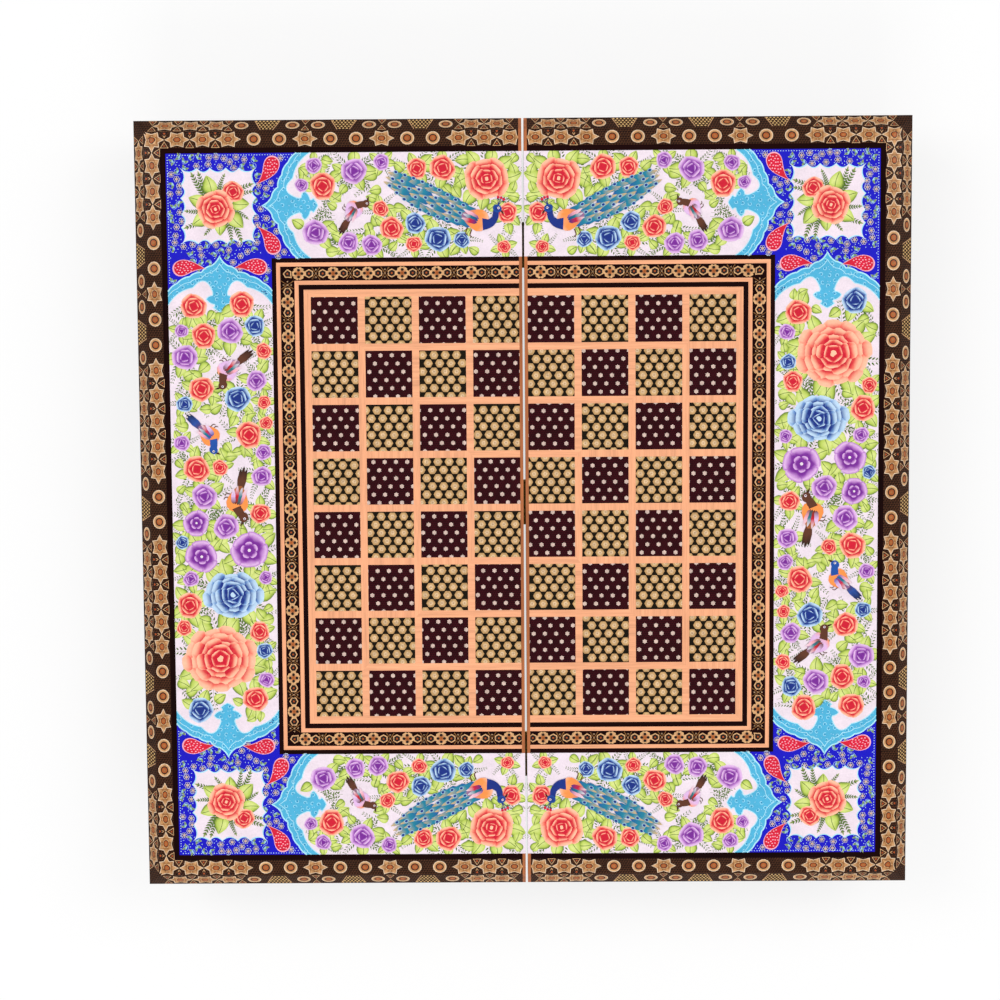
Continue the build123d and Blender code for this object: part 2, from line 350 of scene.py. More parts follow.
def columns(*values):
    """Numbers and arrays as columns of one length."""
    return (np.ravel(a)[:, None] for a in np.broadcast_arrays(*(np.asarray(v, float) for v in values)))


def stamp(layer, shape, x, y, angle, length, width, base, dome, stops, place=on_face, limits=None):
    """Sets one unit shape down N times, turned by angle, stretched to length and width, and blended
    between its colour stops. limits are the low and high x and low and high y that cut it off."""
    unit = SHAPES[shape]
    x, y, angle, length, width, base = columns(x, y, angle, length, width, base)
    px, py = turned(x, y, angle, unit["flat"][:, 0] * length, unit["flat"][:, 1] * width)
    if limits is not None:
        px, py = np.clip(px, *limits[:2]), np.clip(py, *limits[2:])
    faces = unit["faces"]
    if np.any(width < 0) != left_handed(place):
        faces = faces[:, ::-1]
    layer.add(place(px, py, base + dome * unit["rise"]), faces, mixed(stops, unit["blend"]))


def nested(layer, x, y, angle, long, wide, rings, place=on_face):
    """Shapes set on one another. A ring is its shape, its shares of the length and width, its base and stops."""
    for shape, of_long, of_wide, base, stops in rings:
        stamp(layer, shape, x, y, angle, of_long * long, of_wide * wide, base, LOW_DOME, stops, place)


def left_handed(place):
    """True where along, across and out of the surface are a left-handed frame, which turns faces over."""
    spots = np.array([(10, 15, 0), (11, 15, 0), (10, 16, 0), (10, 15, 1)], float)
    o, *ends = place(*spots.T)
    return place is not on_face and np.linalg.det(np.array(ends) - o) < 0


def mixed(stops, blend):
    """Colour at each vertex, on straight lines between evenly spaced stops. One name is an even colour."""
    stops = np.array([pigment(name) for name in ([stops] if isinstance(stops, str) else stops)])
    places = np.linspace(0, 1, len(stops))
    return np.stack([np.interp(blend, places, stops[:, c]) for c in range(3)], axis=-1)


def stroke(layer, paths, half_width, base, height, colour, place=on_face):
    """Raised lines. paths is N lines by M points by 2. Each line has a three-cornered section:
    left foot, ridge and right foot at path + n w, path and path - n w, where n is the unit normal."""
    paths = np.asarray(paths, float)
    count, steps = paths.shape[:2]
    tangent = np.gradient(paths, axis=1)
    tangent /= np.linalg.norm(tangent, axis=2, keepdims=True) + 1e-9
    normal = np.stack([-tangent[..., 1], tangent[..., 0]], axis=-1)
    wide = np.broadcast_to(np.asarray(half_width, float), (count, steps))[..., None]
    section = ((paths + normal * wide, 0.0), (paths, height), (paths - normal * wide, 0.0))
    points = [place(p[..., 0], p[..., 1], np.full(p.shape[:2], base + rise)) for p, rise in section]
    points = np.stack(points, axis=2).reshape(count, steps * 3, 3)
    a = 3 * np.arange(steps - 1)
    faces = []
    for first, second in ((0, 1), (1, 2), (2, 0)):
        faces.append(np.column_stack([a + first, a + second, a + 3 + second]))
        faces.append(np.column_stack([a + first, a + 3 + second, a + 3 + first]))
    end = 3 * (steps - 1)
    faces += [np.array([[0, 2, 1]]), np.array([[end, end + 1, end + 2]])]
    faces = np.concatenate(faces)
    if left_handed(place):
        faces = faces[:, ::-1]
    layer.add(points, faces, pigment(colour))


def smooth(points, per):
    """Catmull-Rom curve through a few points: p1 + t/2 ((p2 - p0) + t (2 p0 - 5 p1 + 4 p2 - p3)
    + t^2 (3 p1 - p0 - 3 p2 + p3)) on each stretch."""
    p = np.asarray(points, float)
    padded = np.concatenate([p[:1], p, p[-1:]])[:, None]
    p0, p1, p2, p3 = padded[:-3], padded[1:-2], padded[2:-1], padded[3:]
    t = np.linspace(0, 1, per, endpoint=False)[None, :, None]
    curve = p1 + t / 2 * ((p2 - p0) + t * (2 * p0 - 5 * p1 + 4 * p2 - p3) + t**2 * (3 * p1 - p0 - 3 * p2 + p3))
    return np.concatenate([curve.reshape(-1, 2), p[-1:]])


def hung(a, b, sag, per):
    """Arcs from each a to its b, n being the normal on their right: a + (b - a) t - n 4 sag t (1 - t)."""
    t = np.linspace(0, 1, per, endpoint=False)[None, :, None]
    chord = b - a
    normal = np.stack([chord[:, 1], -chord[:, 0]], axis=-1) / np.linalg.norm(chord, axis=1, keepdims=True)
    sag = np.broadcast_to(np.asarray(sag, float), (len(a),))[:, None, None]
    return (a[:, None] + chord[:, None] * t - normal[:, None] * 4 * sag * t * (1 - t)).reshape(-1, 2)


def plate(layer, outline, low, high, colour):
    """Flat closed plate over an outline."""
    outline = np.asarray(outline, float)
    if signed_area(outline) < 0:
        outline = outline[::-1]
    count = len(outline)
    top = np.array(tessellate_polygon([[Vector((x, y, 0)) for x, y in outline]]))
    a, b, c = (outline[top[:, k]] for k in range(3))
    turn = (b[:, 0] - a[:, 0]) * (c[:, 1] - a[:, 1]) - (b[:, 1] - a[:, 1]) * (c[:, 0] - a[:, 0])
    top = np.where((turn < 0)[:, None], top[:, ::-1], top)
    here = np.arange(count)
    there = (here + 1) % count
    walls = [np.column_stack([here, there + count, there]), np.column_stack([here, here + count, there + count])]
    faces = np.concatenate([top, top[:, ::-1] + count] + walls)
    points = [on_face(outline[:, 0], outline[:, 1], np.full(count, height)) for height in (high, low)]
    layer.add(np.concatenate(points)[None], faces, pigment(colour))


def inside(outline, x, y):
    """True where a point lies inside a closed outline: it crosses an odd number of edges to its right."""
    a = np.asarray(outline, float)
    b = np.roll(a, -1, 0)
    x, y = np.asarray(x)[..., None], np.asarray(y)[..., None]
    crosses = (a[:, 1] > y) != (b[:, 1] > y)
    slope = np.where(b[:, 1] == a[:, 1], 1.0, b[:, 1] - a[:, 1])
    at = a[:, 0] + (y - a[:, 1]) * (b[:, 0] - a[:, 0]) / slope
    return (np.sum(crosses & (x < at), axis=-1) % 2) == 1


# Chess squares

DOT, DISC, DISC_EYE = 1.55, 2.95, 1.3  # radii of the motifs


def chess_squares(sizes):
    """Middle and half sizes of each square of the right half, with its colour: x, y, half x, half y, dark."""
    side = sizes.pitch - sizes.strip
    squares = []
    for column in range(4):
        high_x = sizes.first_strip + column * sizes.pitch - sizes.strip / 2
        low_x = INLAY_X if column == 0 else high_x - side
        for row in range(-4, 4):
            y = (row + 0.5) * sizes.pitch
            squares.append(((low_x + high_x) / 2, y, (high_x - low_x) / 2, side / 2, (column + row) % 2 == 1))
    return squares


def lattice_points(half_x, half_y, pitch, rise, phase):
    """Staggered rows: row j is at j rise, and every second row is moved by half a pitch."""
    rows = int(2 * half_y / rise) + 3
    columns = int(2 * half_x / pitch) + 4
    j, k = np.mgrid[0:rows, 0:columns]
    x = -half_x - pitch + (k + 0.5 * (j % 2)) * pitch + phase * pitch
    y = -half_y + (j - 0.55 + 0.4 * phase) * rise
    return x.ravel(), y.ravel()


def chess_inlay(sizes):
    """Six-pointed dots on the dark squares, and discs with pale eyes on the light ones, cut at their edges."""
    dots, discs = Layer(), Layer()
    for number, (x, y, half_x, half_y, dark) in enumerate(chess_squares(sizes)):
        px, py = lattice_points(half_x, half_y, sizes.dot_pitch, sizes.dot_rise, (number * 0.37) % 1.0)
        keep = (np.abs(px) < half_x + 1.2) & (np.abs(py) < half_y + 1.2)
        px, py = px[keep] + x, py[keep] + y
        box = (x - half_x, x + half_x, y - half_y, y + half_y)
        if dark:
            stamp(dots, "rosette", px, py, np.pi / 6, DOT, DOT, 0.01, DOME, "grey_pink", limits=box)
        else:
            stamp(discs, "lobed", px, py, 0.0, DISC, DISC, 0.01, DOME, ["disc_tan", "disc_edge"], limits=box)
            eye = (px, py, 0.0, DISC_EYE, DISC_EYE, 0.03)
            stamp(discs, "rosette", *eye, DOME, ["disc_edge", "bone"], limits=box)
    return dots, discs


# Star inlay of the moulding

# Kinds from the middle of a side to its corner: B a big star, s a small rosette
STAR_KINDS = {"end": "sBBBBBssBssBBBB", "top": "BBBssBssBssBBBB", "bottom": "BBBssBssBssBBBB"}

# What a motif is built up of: shapes, their shares of its length and width, their bases and colours
STAR_FIELD = [("star6", 1.0, 1.0, 0.02, "bone"), ("star6", 0.88, 0.88, 0.05, ["ink", "brown", "tan_deep"])]
STAR_HEART = [
    ("hexagon", 0.40, 0.42, 0.08, "tan"), ("disc", 0.31, 0.32, 0.11, "ink"),
    # the rust eye is lighter tan at its middle: a painted highlight
    ("disc", 0.24, 0.25, 0.14, ["tan_deep", "rust", "rust"]),
]
ROUND_ROSETTE = [
    ("disc", 1.0, 1.0, 0.02, "bone"), ("disc", 0.88, 0.88, 0.05, ["tan_deep", "tan_deep", "tan"]),
    # the rust eye is lighter tan at its middle: a painted highlight
    ("disc", 0.60, 0.60, 0.08, "ink"), ("disc", 0.44, 0.44, 0.11, ["tan_deep", "rust", "rust"]),
]
WEDGE = [
    ("triangle", 2.9, 2.9, 0.02, "tan"), ("triangle", 2.2, 2.2, 0.05, "ink"), ("triangle", 1.0, 1.0, 0.08, "rust"),
]
CHAIN_LINK = [
    ("hexagon", 3.0, 2.9, 0.01, "tan"), ("hexagon", 2.2, 2.1, 0.035, "ink"), ("hexagon", 0.7, 0.7, 0.06, "rust"),
]


def motif_run(run, first, last, pitch):
    """Places of the motifs along a side, each with its kind, which are mirrored at the side's middle."""
    kinds = STAR_KINDS[run]
    return [((n + 0.5) * pitch, kinds[min(n if n >= 0 else -n - 1, len(kinds) - 1)]) for n in range(first, last)]


def big_star(layer, s, c, place, long, wide):
    """Six-pointed star: pale outline, dark field, six tan lozenges, and a rust eye in a dark ring, with a painted
    highlight at the eye's middle.
    """
    nested(layer, s, c, 0.0, long, wide, STAR_FIELD, place)
    at, turn = (a.ravel() for a in np.meshgrid(s, np.arange(6) * np.pi / 3))
    dx, dc = long * np.cos(turn), wide * np.sin(turn)
    point = (at + 0.36 * dx, c + 0.36 * dc, np.arctan2(dc, dx), 0.46 * np.hypot(dx, dc), 0.52 * wide)
    stamp(layer, "leaflet", *point, 0.07, LOW_DOME, ["tan_deep", "tan"], place)
    nested(layer, s, c, 0.0, long, wide, STAR_HEART, place)


def small_rosette(layer, s, c, place, long, wide):
    """Round rosette: pale outline, tan ring, dark ring and rust eye, with a painted highlight at the eye's middle."""
    nested(layer, s, c, 0.0, long, wide, ROUND_ROSETTE, place)


def moulding_inlay(sizes):
    """Two rows of motifs: on the facet, and half a pitch on, on the chamfer."""
    layer = Layer()
    pitch = sizes.star_pitch
    facet, chamfer = FACET * 0.5, FACET + CHAMFER / math.sqrt(2)
    for run, first in (("end", -15), ("top", 0), ("bottom", 0)):
        place = on_moulding(run)
        units = motif_run(run, first, 15, pitch)
        between = [(a[0] + pitch / 2, a[1] + b[1]) for a, b in zip(units, units[1:])]
        big, small, stars, rosettes, meshes = (
            np.array([s for s, kind in units + between if kind in kinds])
            for kinds in (("B",), ("s",), ("BB",), ("Bs", "sB"), ("ss",))
        )
        small_rosette(layer, small, facet, place, 4.5, 4.2)
        big_star(layer, big, facet, place, pitch / 2, 5.7)
        big_star(layer, stars, chamfer, place, pitch / 2, 4.9)
        small_rosette(layer, rosettes, chamfer, place, 4.5, 3.5)
        wedges(layer, stars, facet, place, 5.3)
        wedges(layer, big, chamfer, place, 4.8)
        hatched_patches(layer, meshes, chamfer, place)
    return layer


def wedges(layer, s, middle, place, reach_out):
    """Black wedges with a pale outline and a rust core, above and below where two stars touch."""
    for side in (-1, 1):
        nested(layer, s, middle + side * (reach_out - 1.35), -side * np.pi / 2, 1.0, 1.1, WEDGE, place)


def hatched_patches(layer, places, chamfer, place):
    """Fine mesh on the chamfer: staggered rows of small slips, between two pale threads that lean apart."""
    rise, pitch = 1.8, 2.3
    j, k = np.mgrid[0:5, -4:5]
    for s in places:
        x = s + (k + 0.5 * (j % 2)) * pitch
        c = chamfer - 4.2 + (j + 0.5) * rise
        spread = 3.6 + 0.45 * (c - chamfer + 4.2)
        keep = np.abs(x - s) < spread
        stamp(layer, "triangle", x[keep], c[keep], np.pi / 2, 0.95, 0.95, 0.02, LOW_DOME, "gold", place)
        for side in (-1, 1):
            thread = np.array([[[s + side * 3.9, chamfer - 4.4], [s + side * 8.1, chamfer + 4.6]]])
            stroke(layer, thread, 0.22, 0.02, 0.03, "tan", place)


def field_inlay():
    """Rosette in each play field's medallion, face down: two crossed stars, a ring of dots and a rust eye."""
    layer = Layer()
    low, high = (np.array(corner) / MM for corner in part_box("right_field_medallion"))
    x, y = (low[:2] + high[:2]) / 2

    def place(px, py, h):
        return np.stack([px, py, low[2] - h], axis=-1)

    for number, (size, colour) in enumerate(((27, "bone"), (25.5, "ink"), (22, "tan"), (20.5, "brown"))):
        for turn in (0.0, np.pi / 6):
            base = 0.02 + 0.04 * number + 0.01 * turn
            stamp(layer, "star6", x, y, turn, size, size, base, DOME, colour, place)
    ring = turned(x, y, around(12), 11.5, 0.0)
    stamp(layer, "dot", *ring, 0.0, 1.6, 1.6, 0.2, DOME, ["bone", "tan"], place)
    stamp(layer, "rosette", x, y, 0.0, 8.0, 8.0, 0.2, 0.05, ["rust", "bone"], place)
    stamp(layer, "disc", x, y, 0.0, 3.0, 3.0, 0.26, 0.03, ["rust", "ink"], place)
    return layer


# Chain of knots between the light lines


def chain_border(sizes):
    """Knots of six petals with four dark eyes, hexagons beside them, and crossed threads between the units."""
    layer = Layer()
    middle = (BAND_OUTER + BAND_INNER) / 2
    unit = sizes.chain_pitch
    for run in ("end", "top", "bottom"):
        place = on_band(run)
        knots = np.arange(-7, 8) * unit if run == "end" else (np.arange(0, 7) + 0.5) * unit
        whole = knots[np.abs(knots) < middle - 4]
        s, turn = (a.ravel() for a in np.meshgrid(whole, np.arange(6) * np.pi / 3))
        stamp(layer, "petal", s, middle, turn, 4.5, 4.0, 0.01, 0.02, ["rust", "tan", "tan"], place)
        stamp(layer, "disc", whole, middle, 0.0, 1.3, 1.3, 0.035, 0.02, ["rust", "tan_deep"], place)
        for along, across in ((2.1, 0), (-2.1, 0), (0, 2.2), (0, -2.2)):
            stamp(layer, "dot", whole + along, middle + across, 0.0, 1.05, 0.95, 0.05, LOW_DOME, "ink", place)
        for side in (-1, 1):
            x = knots + side * 6.7
            x = x[np.abs(x) < middle - 4]
            if run == "end" or side == 1:
                x = np.append(x, side * middle)  # its other half is in the side that it meets at the mitre
            nested(layer, x, middle, 0.0, 1.0, 1.0, CHAIN_LINK, place)
            x = knots + side * unit / 2
            x = x[np.abs(x) < middle - 5]
            cross = np.stack([x, x * 0 + middle], axis=-1)[:, None]
            for slope in (-1, 1):
                arm = np.array([[-2.6, -3.9 * slope], [0, 0], [2.6, 3.9 * slope]])
                stroke(layer, cross + arm[None], 0.3, 0.01, 0.03, "tan_deep", place)
            for along, across in ((0, 2.4), (0, -2.4), (2.1, 0), (-2.1, 0), (0, 0)):
                spot = (x + along, middle + across, np.pi / 2, 0.8, 0.8, 0.05)
                stamp(layer, "triangle", *spot, LOW_DOME, ["bone", "tan"], place)
    return layer


# Painted grounds: cobalt corners, turquoise cartouche heads, white reserves and medallions


def arcs(points, bulges, per=6):
    """Open outline of arcs through points, each bulging by its own height."""
    p = np.asarray(points, float)
    return np.concatenate([hung(p[:-1], p[1:], -np.asarray(bulges, float), per), p[-1:]])


def both_sides(run):
    """An outline's half from the panel's edge to its middle line, and its mirror image back to the other edge."""
    return np.concatenate([run, (run * (1, -1))[::-1][1:]])


def head_outline(tip, deep):
    """Scalloped ogee end of a cartouche over the whole width of its panel. u runs towards the tip, v across."""
    half = PANEL_HALF
    side = [
        (tip - 1.18 * deep, half), (tip - 0.90 * deep, 0.82 * half), (tip - 0.68 * deep, 0.58 * half),
        (tip - 0.54 * deep, 0.35 * half), (tip - 0.32 * deep, 0.16 * half), (tip, 0.0),
    ]
    return both_sides(arcs(side, (-0.7, -0.9, -0.9, -0.9, 0.7)))


def reserve_outline(tip, deep):
    """End of the white reserve: on each side a long lobe and a round one, and the finial between them."""
    half = PANEL_HALF
    side = [
        (1.63, 1.00), (1.05, 0.52), (1.17, 0.15), (1.32, 0.15), (1.44, 0.27), (1.62, 0.11), (1.72, 0.14), (1.88, 0.0),
    ]
    points = [(tip - u * deep, v * half) for u, v in side]
    return both_sides(arcs(points, (-2.2, -5.4, -0.3, 0.6, 0.7, -0.5, 0.3), 9))


def medallion_outline(size):
    """Square medallion with long tips at its corners and small ones along its sides, joined by hanging arcs."""
    tips = []
    for quarter in range(4):
        turn = quarter * np.pi / 2
        for r, angle in ((1.36, 45), (1.08, 29), (0.97, 12), (0.97, -12), (1.08, -29)):
            a = turn + np.radians(angle)
            tips.append((a, r * size))
    tips.sort()
    points = np.array([(r * np.cos(a), r * np.sin(a)) for a, r in tips])
    return hung(points, np.roll(points, -1, 0), 0.10 * size, 7)


class Cartouche:
    """One panel's frame: the places along it (u) and across it (v) on the board."""

    def __init__(self, kind, sizes):
        self.kind = kind
        self.tip = sizes.side_tip if kind == "side" else sizes.long_tip
        self.edge = self.tip - sizes.head_depth

    def to_board(self, points, end=1):
        """Panel places u, v as board places. The side panel has an end at the top and one at the bottom."""
        u, v = points[..., 0], points[..., 1]
        if self.kind == "side":
            return np.stack([PANEL_MIDDLE + v, end * u], axis=-1)
        sign = 1.0 if self.kind == "top" else -1.0
        return np.stack([u, sign * (PANEL_MIDDLE + v)], axis=-1)


def cartouches(sizes):
    """Every cartouche end of the right half, as (cartouche, end)."""
    side, top, bottom = (Cartouche(kind, sizes) for kind in ("side", "top", "bottom"))
    return [(side, 1), (side, -1), (top, 1), (bottom, 1)]


def painted_grounds(sizes):
    """Cobalt corner blocks, and on them the turquoise heads, their pale outlines and the medallions."""
    layer = Layer()
    for end in (1, -1):
        low = sizes.side_tip - sizes.head_depth - 9
        corner = [
            (PAINT_INNER, low), (PAINT_OUTER, low), (PAINT_OUTER, PAINT_OUTER),
            (low, PAINT_OUTER), (low, PAINT_INNER), (PAINT_INNER, PAINT_INNER),
        ]
        plate(layer, np.array(corner) * (1, end), 0.0, GROUND, "cobalt")
        medallion = medallion_outline(sizes.medallion / 2)
        middle = np.array([PANEL_MIDDLE, end * PANEL_MIDDLE])
        plate(layer, medallion * 1.03 + middle, GROUND, GROUND + 0.02, "turquoise_pale")
        plate(layer, medallion + middle, GROUND, SCROLL, "white")
    for panel, end in cartouches(sizes):
        head = head_outline(panel.tip, sizes.head_depth)
        inner = panel.edge - 2.3 * sizes.head_depth
        back = np.array([[inner, -PANEL_HALF], [inner, PANEL_HALF]])
        plate(layer, panel.to_board(np.concatenate([head, back]), end), GROUND, SCROLL - 0.01, "turquoise")
        stroke(layer, panel.to_board(head, end)[None], 0.45, SCROLL - 0.01, 0.05, "turquoise_pale")
        inner_line = head_outline(panel.tip - 4.6, 0.93 * sizes.head_depth)
        stroke(layer, panel.to_board(inner_line, end)[None], 0.28, SCROLL - 0.02, 0.04, "turquoise_pale")
        reserve = reserve_outline(panel.tip, sizes.head_depth)
        stroke(layer, panel.to_board(reserve, end)[None], 0.35, SCROLL + 0.01, 0.05, "turquoise_pale")
        if panel.kind == "side":
            other = panel.to_board(reserve, -end)[::-1]
        else:
            spine = reach("right_spine_strip", 0, 0)
            other = panel.to_board(np.array([[spine, -PANEL_HALF], [spine, PANEL_HALF]]))
        if end == 1:
            whole = np.concatenate([panel.to_board(reserve, end), other])
            plate(layer, whole, 0.0, SCROLL + 0.02, "white")
    return layer


def paisleys():
    """Red paisleys beside each cartouche tip, with a pink outline and pink seeds."""
    layer = Layer()
    number = np.arange(26)
    r, t = 4.9 * np.sqrt((number + 0.5) / len(number)), 2.4 * number
    places = []
    for end in (1, -1):
        places += [(162.0, end * 216.5, -end * 1.25, end), (162.0, end * 174.0, end * 1.25, -end)]
        places += [(215.0, end * 157.0, np.pi - end * 0.30, end), (174.5, end * 157.5, end * 0.30, -end)]
    for x, y, angle, hand in places:
        for scale, base, stops in ((1.10, SCROLL, "pink"), (1.0, SCROLL + 0.02, ["red", "red", "crimson"])):
            stamp(layer, "paisley", x, y, angle, 9.6 * scale, hand * 6.8 * scale, base, DOME, stops)
        seeds = turned(x, y, angle, -2.4 + 1.3 * r * np.cos(t), 0.9 * r * np.sin(t) * hand)
        stamp(layer, "dot", *seeds, 0.0, 0.55, 0.4, SCROLL + 0.05, LOW_DOME, "pink")
    return layer


# Flowers, leaves and birds of the white reserves, in a layout of their own


CORAL = ["crimson", "crimson", "coral_mid", "coral", "coral"]
BLUE = ["navy", "navy", "blue_mid", "blue_pale", "blue_pale"]
LILAC = ["purple", "purple_mid", "lilac", "lilac"]
BLOOMS = {
    # colours from heart to rim, then rings from the outside in: petals, length and width
    "rose": (CORAL, [(5, 1.00, 1.35), (5, 0.70, 0.95), (4, 0.40, 0.62)]),
    "blue_rose": (BLUE, [(5, 1.00, 1.35), (4, 0.68, 1.05), (3, 0.38, 0.70)]),
    "lilac_rose": (LILAC, [(5, 1.00, 1.35), (4, 0.66, 1.00), (3, 0.36, 0.66)]),
    "great_rose": (CORAL, [(8, 1.00, 0.95), (7, 0.74, 0.80), (6, 0.48, 0.60), (4, 0.24, 0.36)]),
    "pansy": (["purple", "purple_mid", "lilac", "lilac", "purple_mid"], [(5, 1.00, 1.30), (5, 0.50, 0.50)]),
    "peony": (CORAL, [(13, 1.00, 0.62), (11, 0.81, 0.60), (9, 0.62, 0.56), (7, 0.44, 0.48), (5, 0.26, 0.38)]),
    "blue_peony": (BLUE, [(11, 1.00, 0.70), (9, 0.79, 0.68), (7, 0.58, 0.60), (5, 0.38, 0.50), (3, 0.20, 0.38)]),
}
EYES = {"pansy": "white", "rose": "crimson", "great_rose": "coral", "peony": "coral", "blue_peony": "blue_pale"}


def bloom(layer, kind, x, y, size, turn=0.0, squash=1.0, base=BLOOM_LAYER):
    """Rings of petals about one middle, from the outside in, each ring a little higher and turned by half
    a petal. squash presses the flower's height on the board to squash times its width."""
    x, y, size, turn = columns(x, y, size, turn)
    stops, rings = BLOOMS[kind]
    for number, (petals, length, width) in enumerate(rings):
        k = np.arange(petals)[None]
        angle = turn + (k + 0.5 * (number % 2)) * 2 * np.pi / petals
        lean = np.arctan2(squash * np.sin(angle), np.cos(angle))
        share = np.hypot(np.cos(angle), squash * np.sin(angle))
        lift = base + 0.022 * number + 0.010 * (k % 2)
        long = size * length * share * (1 + 0.05 * np.cos(3.1 * k + 5 * number))
        stamp(layer, "rim_petal", x, y, lean, long, size * width, lift, DOME, stops)
    top = base + 0.022 * len(rings) + 0.01
    if kind in EYES:
        stamp(layer, "dot", x, y, 0.0, size * 0.09, size * 0.09, top, LOW_DOME, EYES[kind])


def leaves(layer, x, y, angle, length, base=LEAF_LAYER):
    """Broad leaves with a dark half, a pale half and a midrib."""
    x, y, angle, length = columns(x, y, angle, length)
    stamp(layer, "leaf", x, y, angle, length, length * 1.02, base, DOME, ["leaf_deep", "leaf", "leaf", "leaf_pale"])
    t = np.linspace(0.05, 0.9, 5)
    ribs = np.stack(turned(x, y, angle, t * length, 0.06 * np.sin(np.pi * t) * length), axis=-1)
    stroke(layer, ribs, 0.2, base + 0.025, 0.02, "leaf_deep")


def fronds(layer, x, y, angle, length, bend=0.25, pairs=5, base=LEAF_LAYER - 0.03):
    """Fern sprays: a stem that bends as bend t^2, with pairs of leaflets that shorten to its tip."""
    x, y, angle, length = columns(x, y, angle, length)
    t = np.linspace(0, 1, pairs + 2)[None]
    px, py = turned(x, y, angle, t * length, bend * t**2 * length)
    stroke(layer, np.stack([px, py], axis=-1), 0.16, base, 0.02, "fern")
    lean = angle + np.arctan(2 * bend * t)
    long = (length * (0.44 - 0.22 * t) * 5 / pairs)[:, 1:]
    for side in (-1, 1):
        leaflet = (px[:, 1:], py[:, 1:], (lean + side * 0.75)[:, 1:], long, 0.5 * long, base)
        stamp(layer, "leaflet", *leaflet, LOW_DOME, ["leaf_deep", "leaf_deep", "fern"])
    tip = (px[:, -1:], py[:, -1:], lean[:, -1:], 0.2 * length, 0.1 * length, base)
    stamp(layer, "leaflet", *tip, LOW_DOME, ["fern", "fern_pale"])


class Pose:
    """Local places of a bird on the board: turned, scaled and, with hand -1, mirrored."""

    def __init__(self, x, y, angle, scale, hand=1):
        self.x, self.y, self.angle, self.scale, self.hand = x, y, angle, scale, hand

    def at(self, u, v):
        u, v = np.asarray(u, float) * self.scale, np.asarray(v, float) * self.scale * self.hand
        return turned(self.x, self.y, self.angle, u, v)

    def lean(self, degrees):
        return self.angle + self.hand * np.radians(degrees)

    def mark(self, layer, shape, u, v, degrees, length, width, base, stops):
        """One shape of the bird. A mirrored bird has mirrored shapes."""
        x, y = self.at(u, v)
        width = np.asarray(width, float) * self.scale * self.hand
        stamp(layer, shape, x, y, self.lean(degrees), np.asarray(length, float) * self.scale, width, base, 0.03, stops)

    def line(self, layer, points, half_width, base, colour, height=0.05):
        path = smooth(points, 5)
        wide = np.interp(np.linspace(0, 1, len(path)), np.linspace(0, 1, len(half_width)), half_width)
        x, y = self.at(path[:, 0], path[:, 1])
        if self.hand < 0:
            x, y, wide = x[::-1], y[::-1], wide[::-1]
        stroke(layer, np.stack([x, y], axis=-1)[None], wide * self.scale, base, height, colour)


def songbird(layer, pose, coat, breast):
    """Perched bird about 24 long: tail to -u, breast to -v, head up at +u. Feathers are long leaflets."""
    z = BLOOM_LAYER + 0.16
    for k, (degrees, length) in enumerate(((176, 13), (184, 14), (192, 12.5))):
        pose.mark(layer, "leaflet", -3, 0.5, degrees, length, 4.2, z + 0.01 * k, ["brown", coat, "ink"])
    pose.mark(layer, "round_petal", -6.5, 0, 4, 15, 13.5, z + 0.03, [coat, breast, breast, "orange"])
    pose.line(layer, [(5.5, 1.2), (8, 3.2), (9.6, 5.4)], [3.0, 2.2, 1.9], z + 0.04, coat)
    pose.mark(layer, "disc", 10, 6, 0, 2.7, 2.4, z + 0.09, coat)
    pose.mark(layer, "leaflet", 11.8, 6.3, -16, 3.6, 1.5, z + 0.08, ["ink", "brown"])
    pose.mark(layer, "dot", 10.6, 6.6, 0, 0.75, 0.75, z + 0.13, "white")
    pose.mark(layer, "dot", 10.7, 6.6, 0, 0.4, 0.4, z + 0.16, "ink")
    feathers = (
        ("pink", 170, 10.5, 1.4), ("teal", 178, 10, 0.4), ("crimson", 186, 10.5, -0.8), ("lilac", 194, 9, -1.8),
    )
    for k, (colour, degrees, length, v) in enumerate(feathers):
        pose.mark(layer, "leaflet", 4.4, v + 0.6, degrees, length, 3.4, z + 0.09 + 0.015 * k, [coat, colour, "white"])
    for u in (-0.5, 1.5):
        pose.line(layer, [(u, -3.6), (u + 0.4, -6.2), (u + 1.8, -6.8)], [0.3, 0.25, 0.2], z, "brown", 0.03)


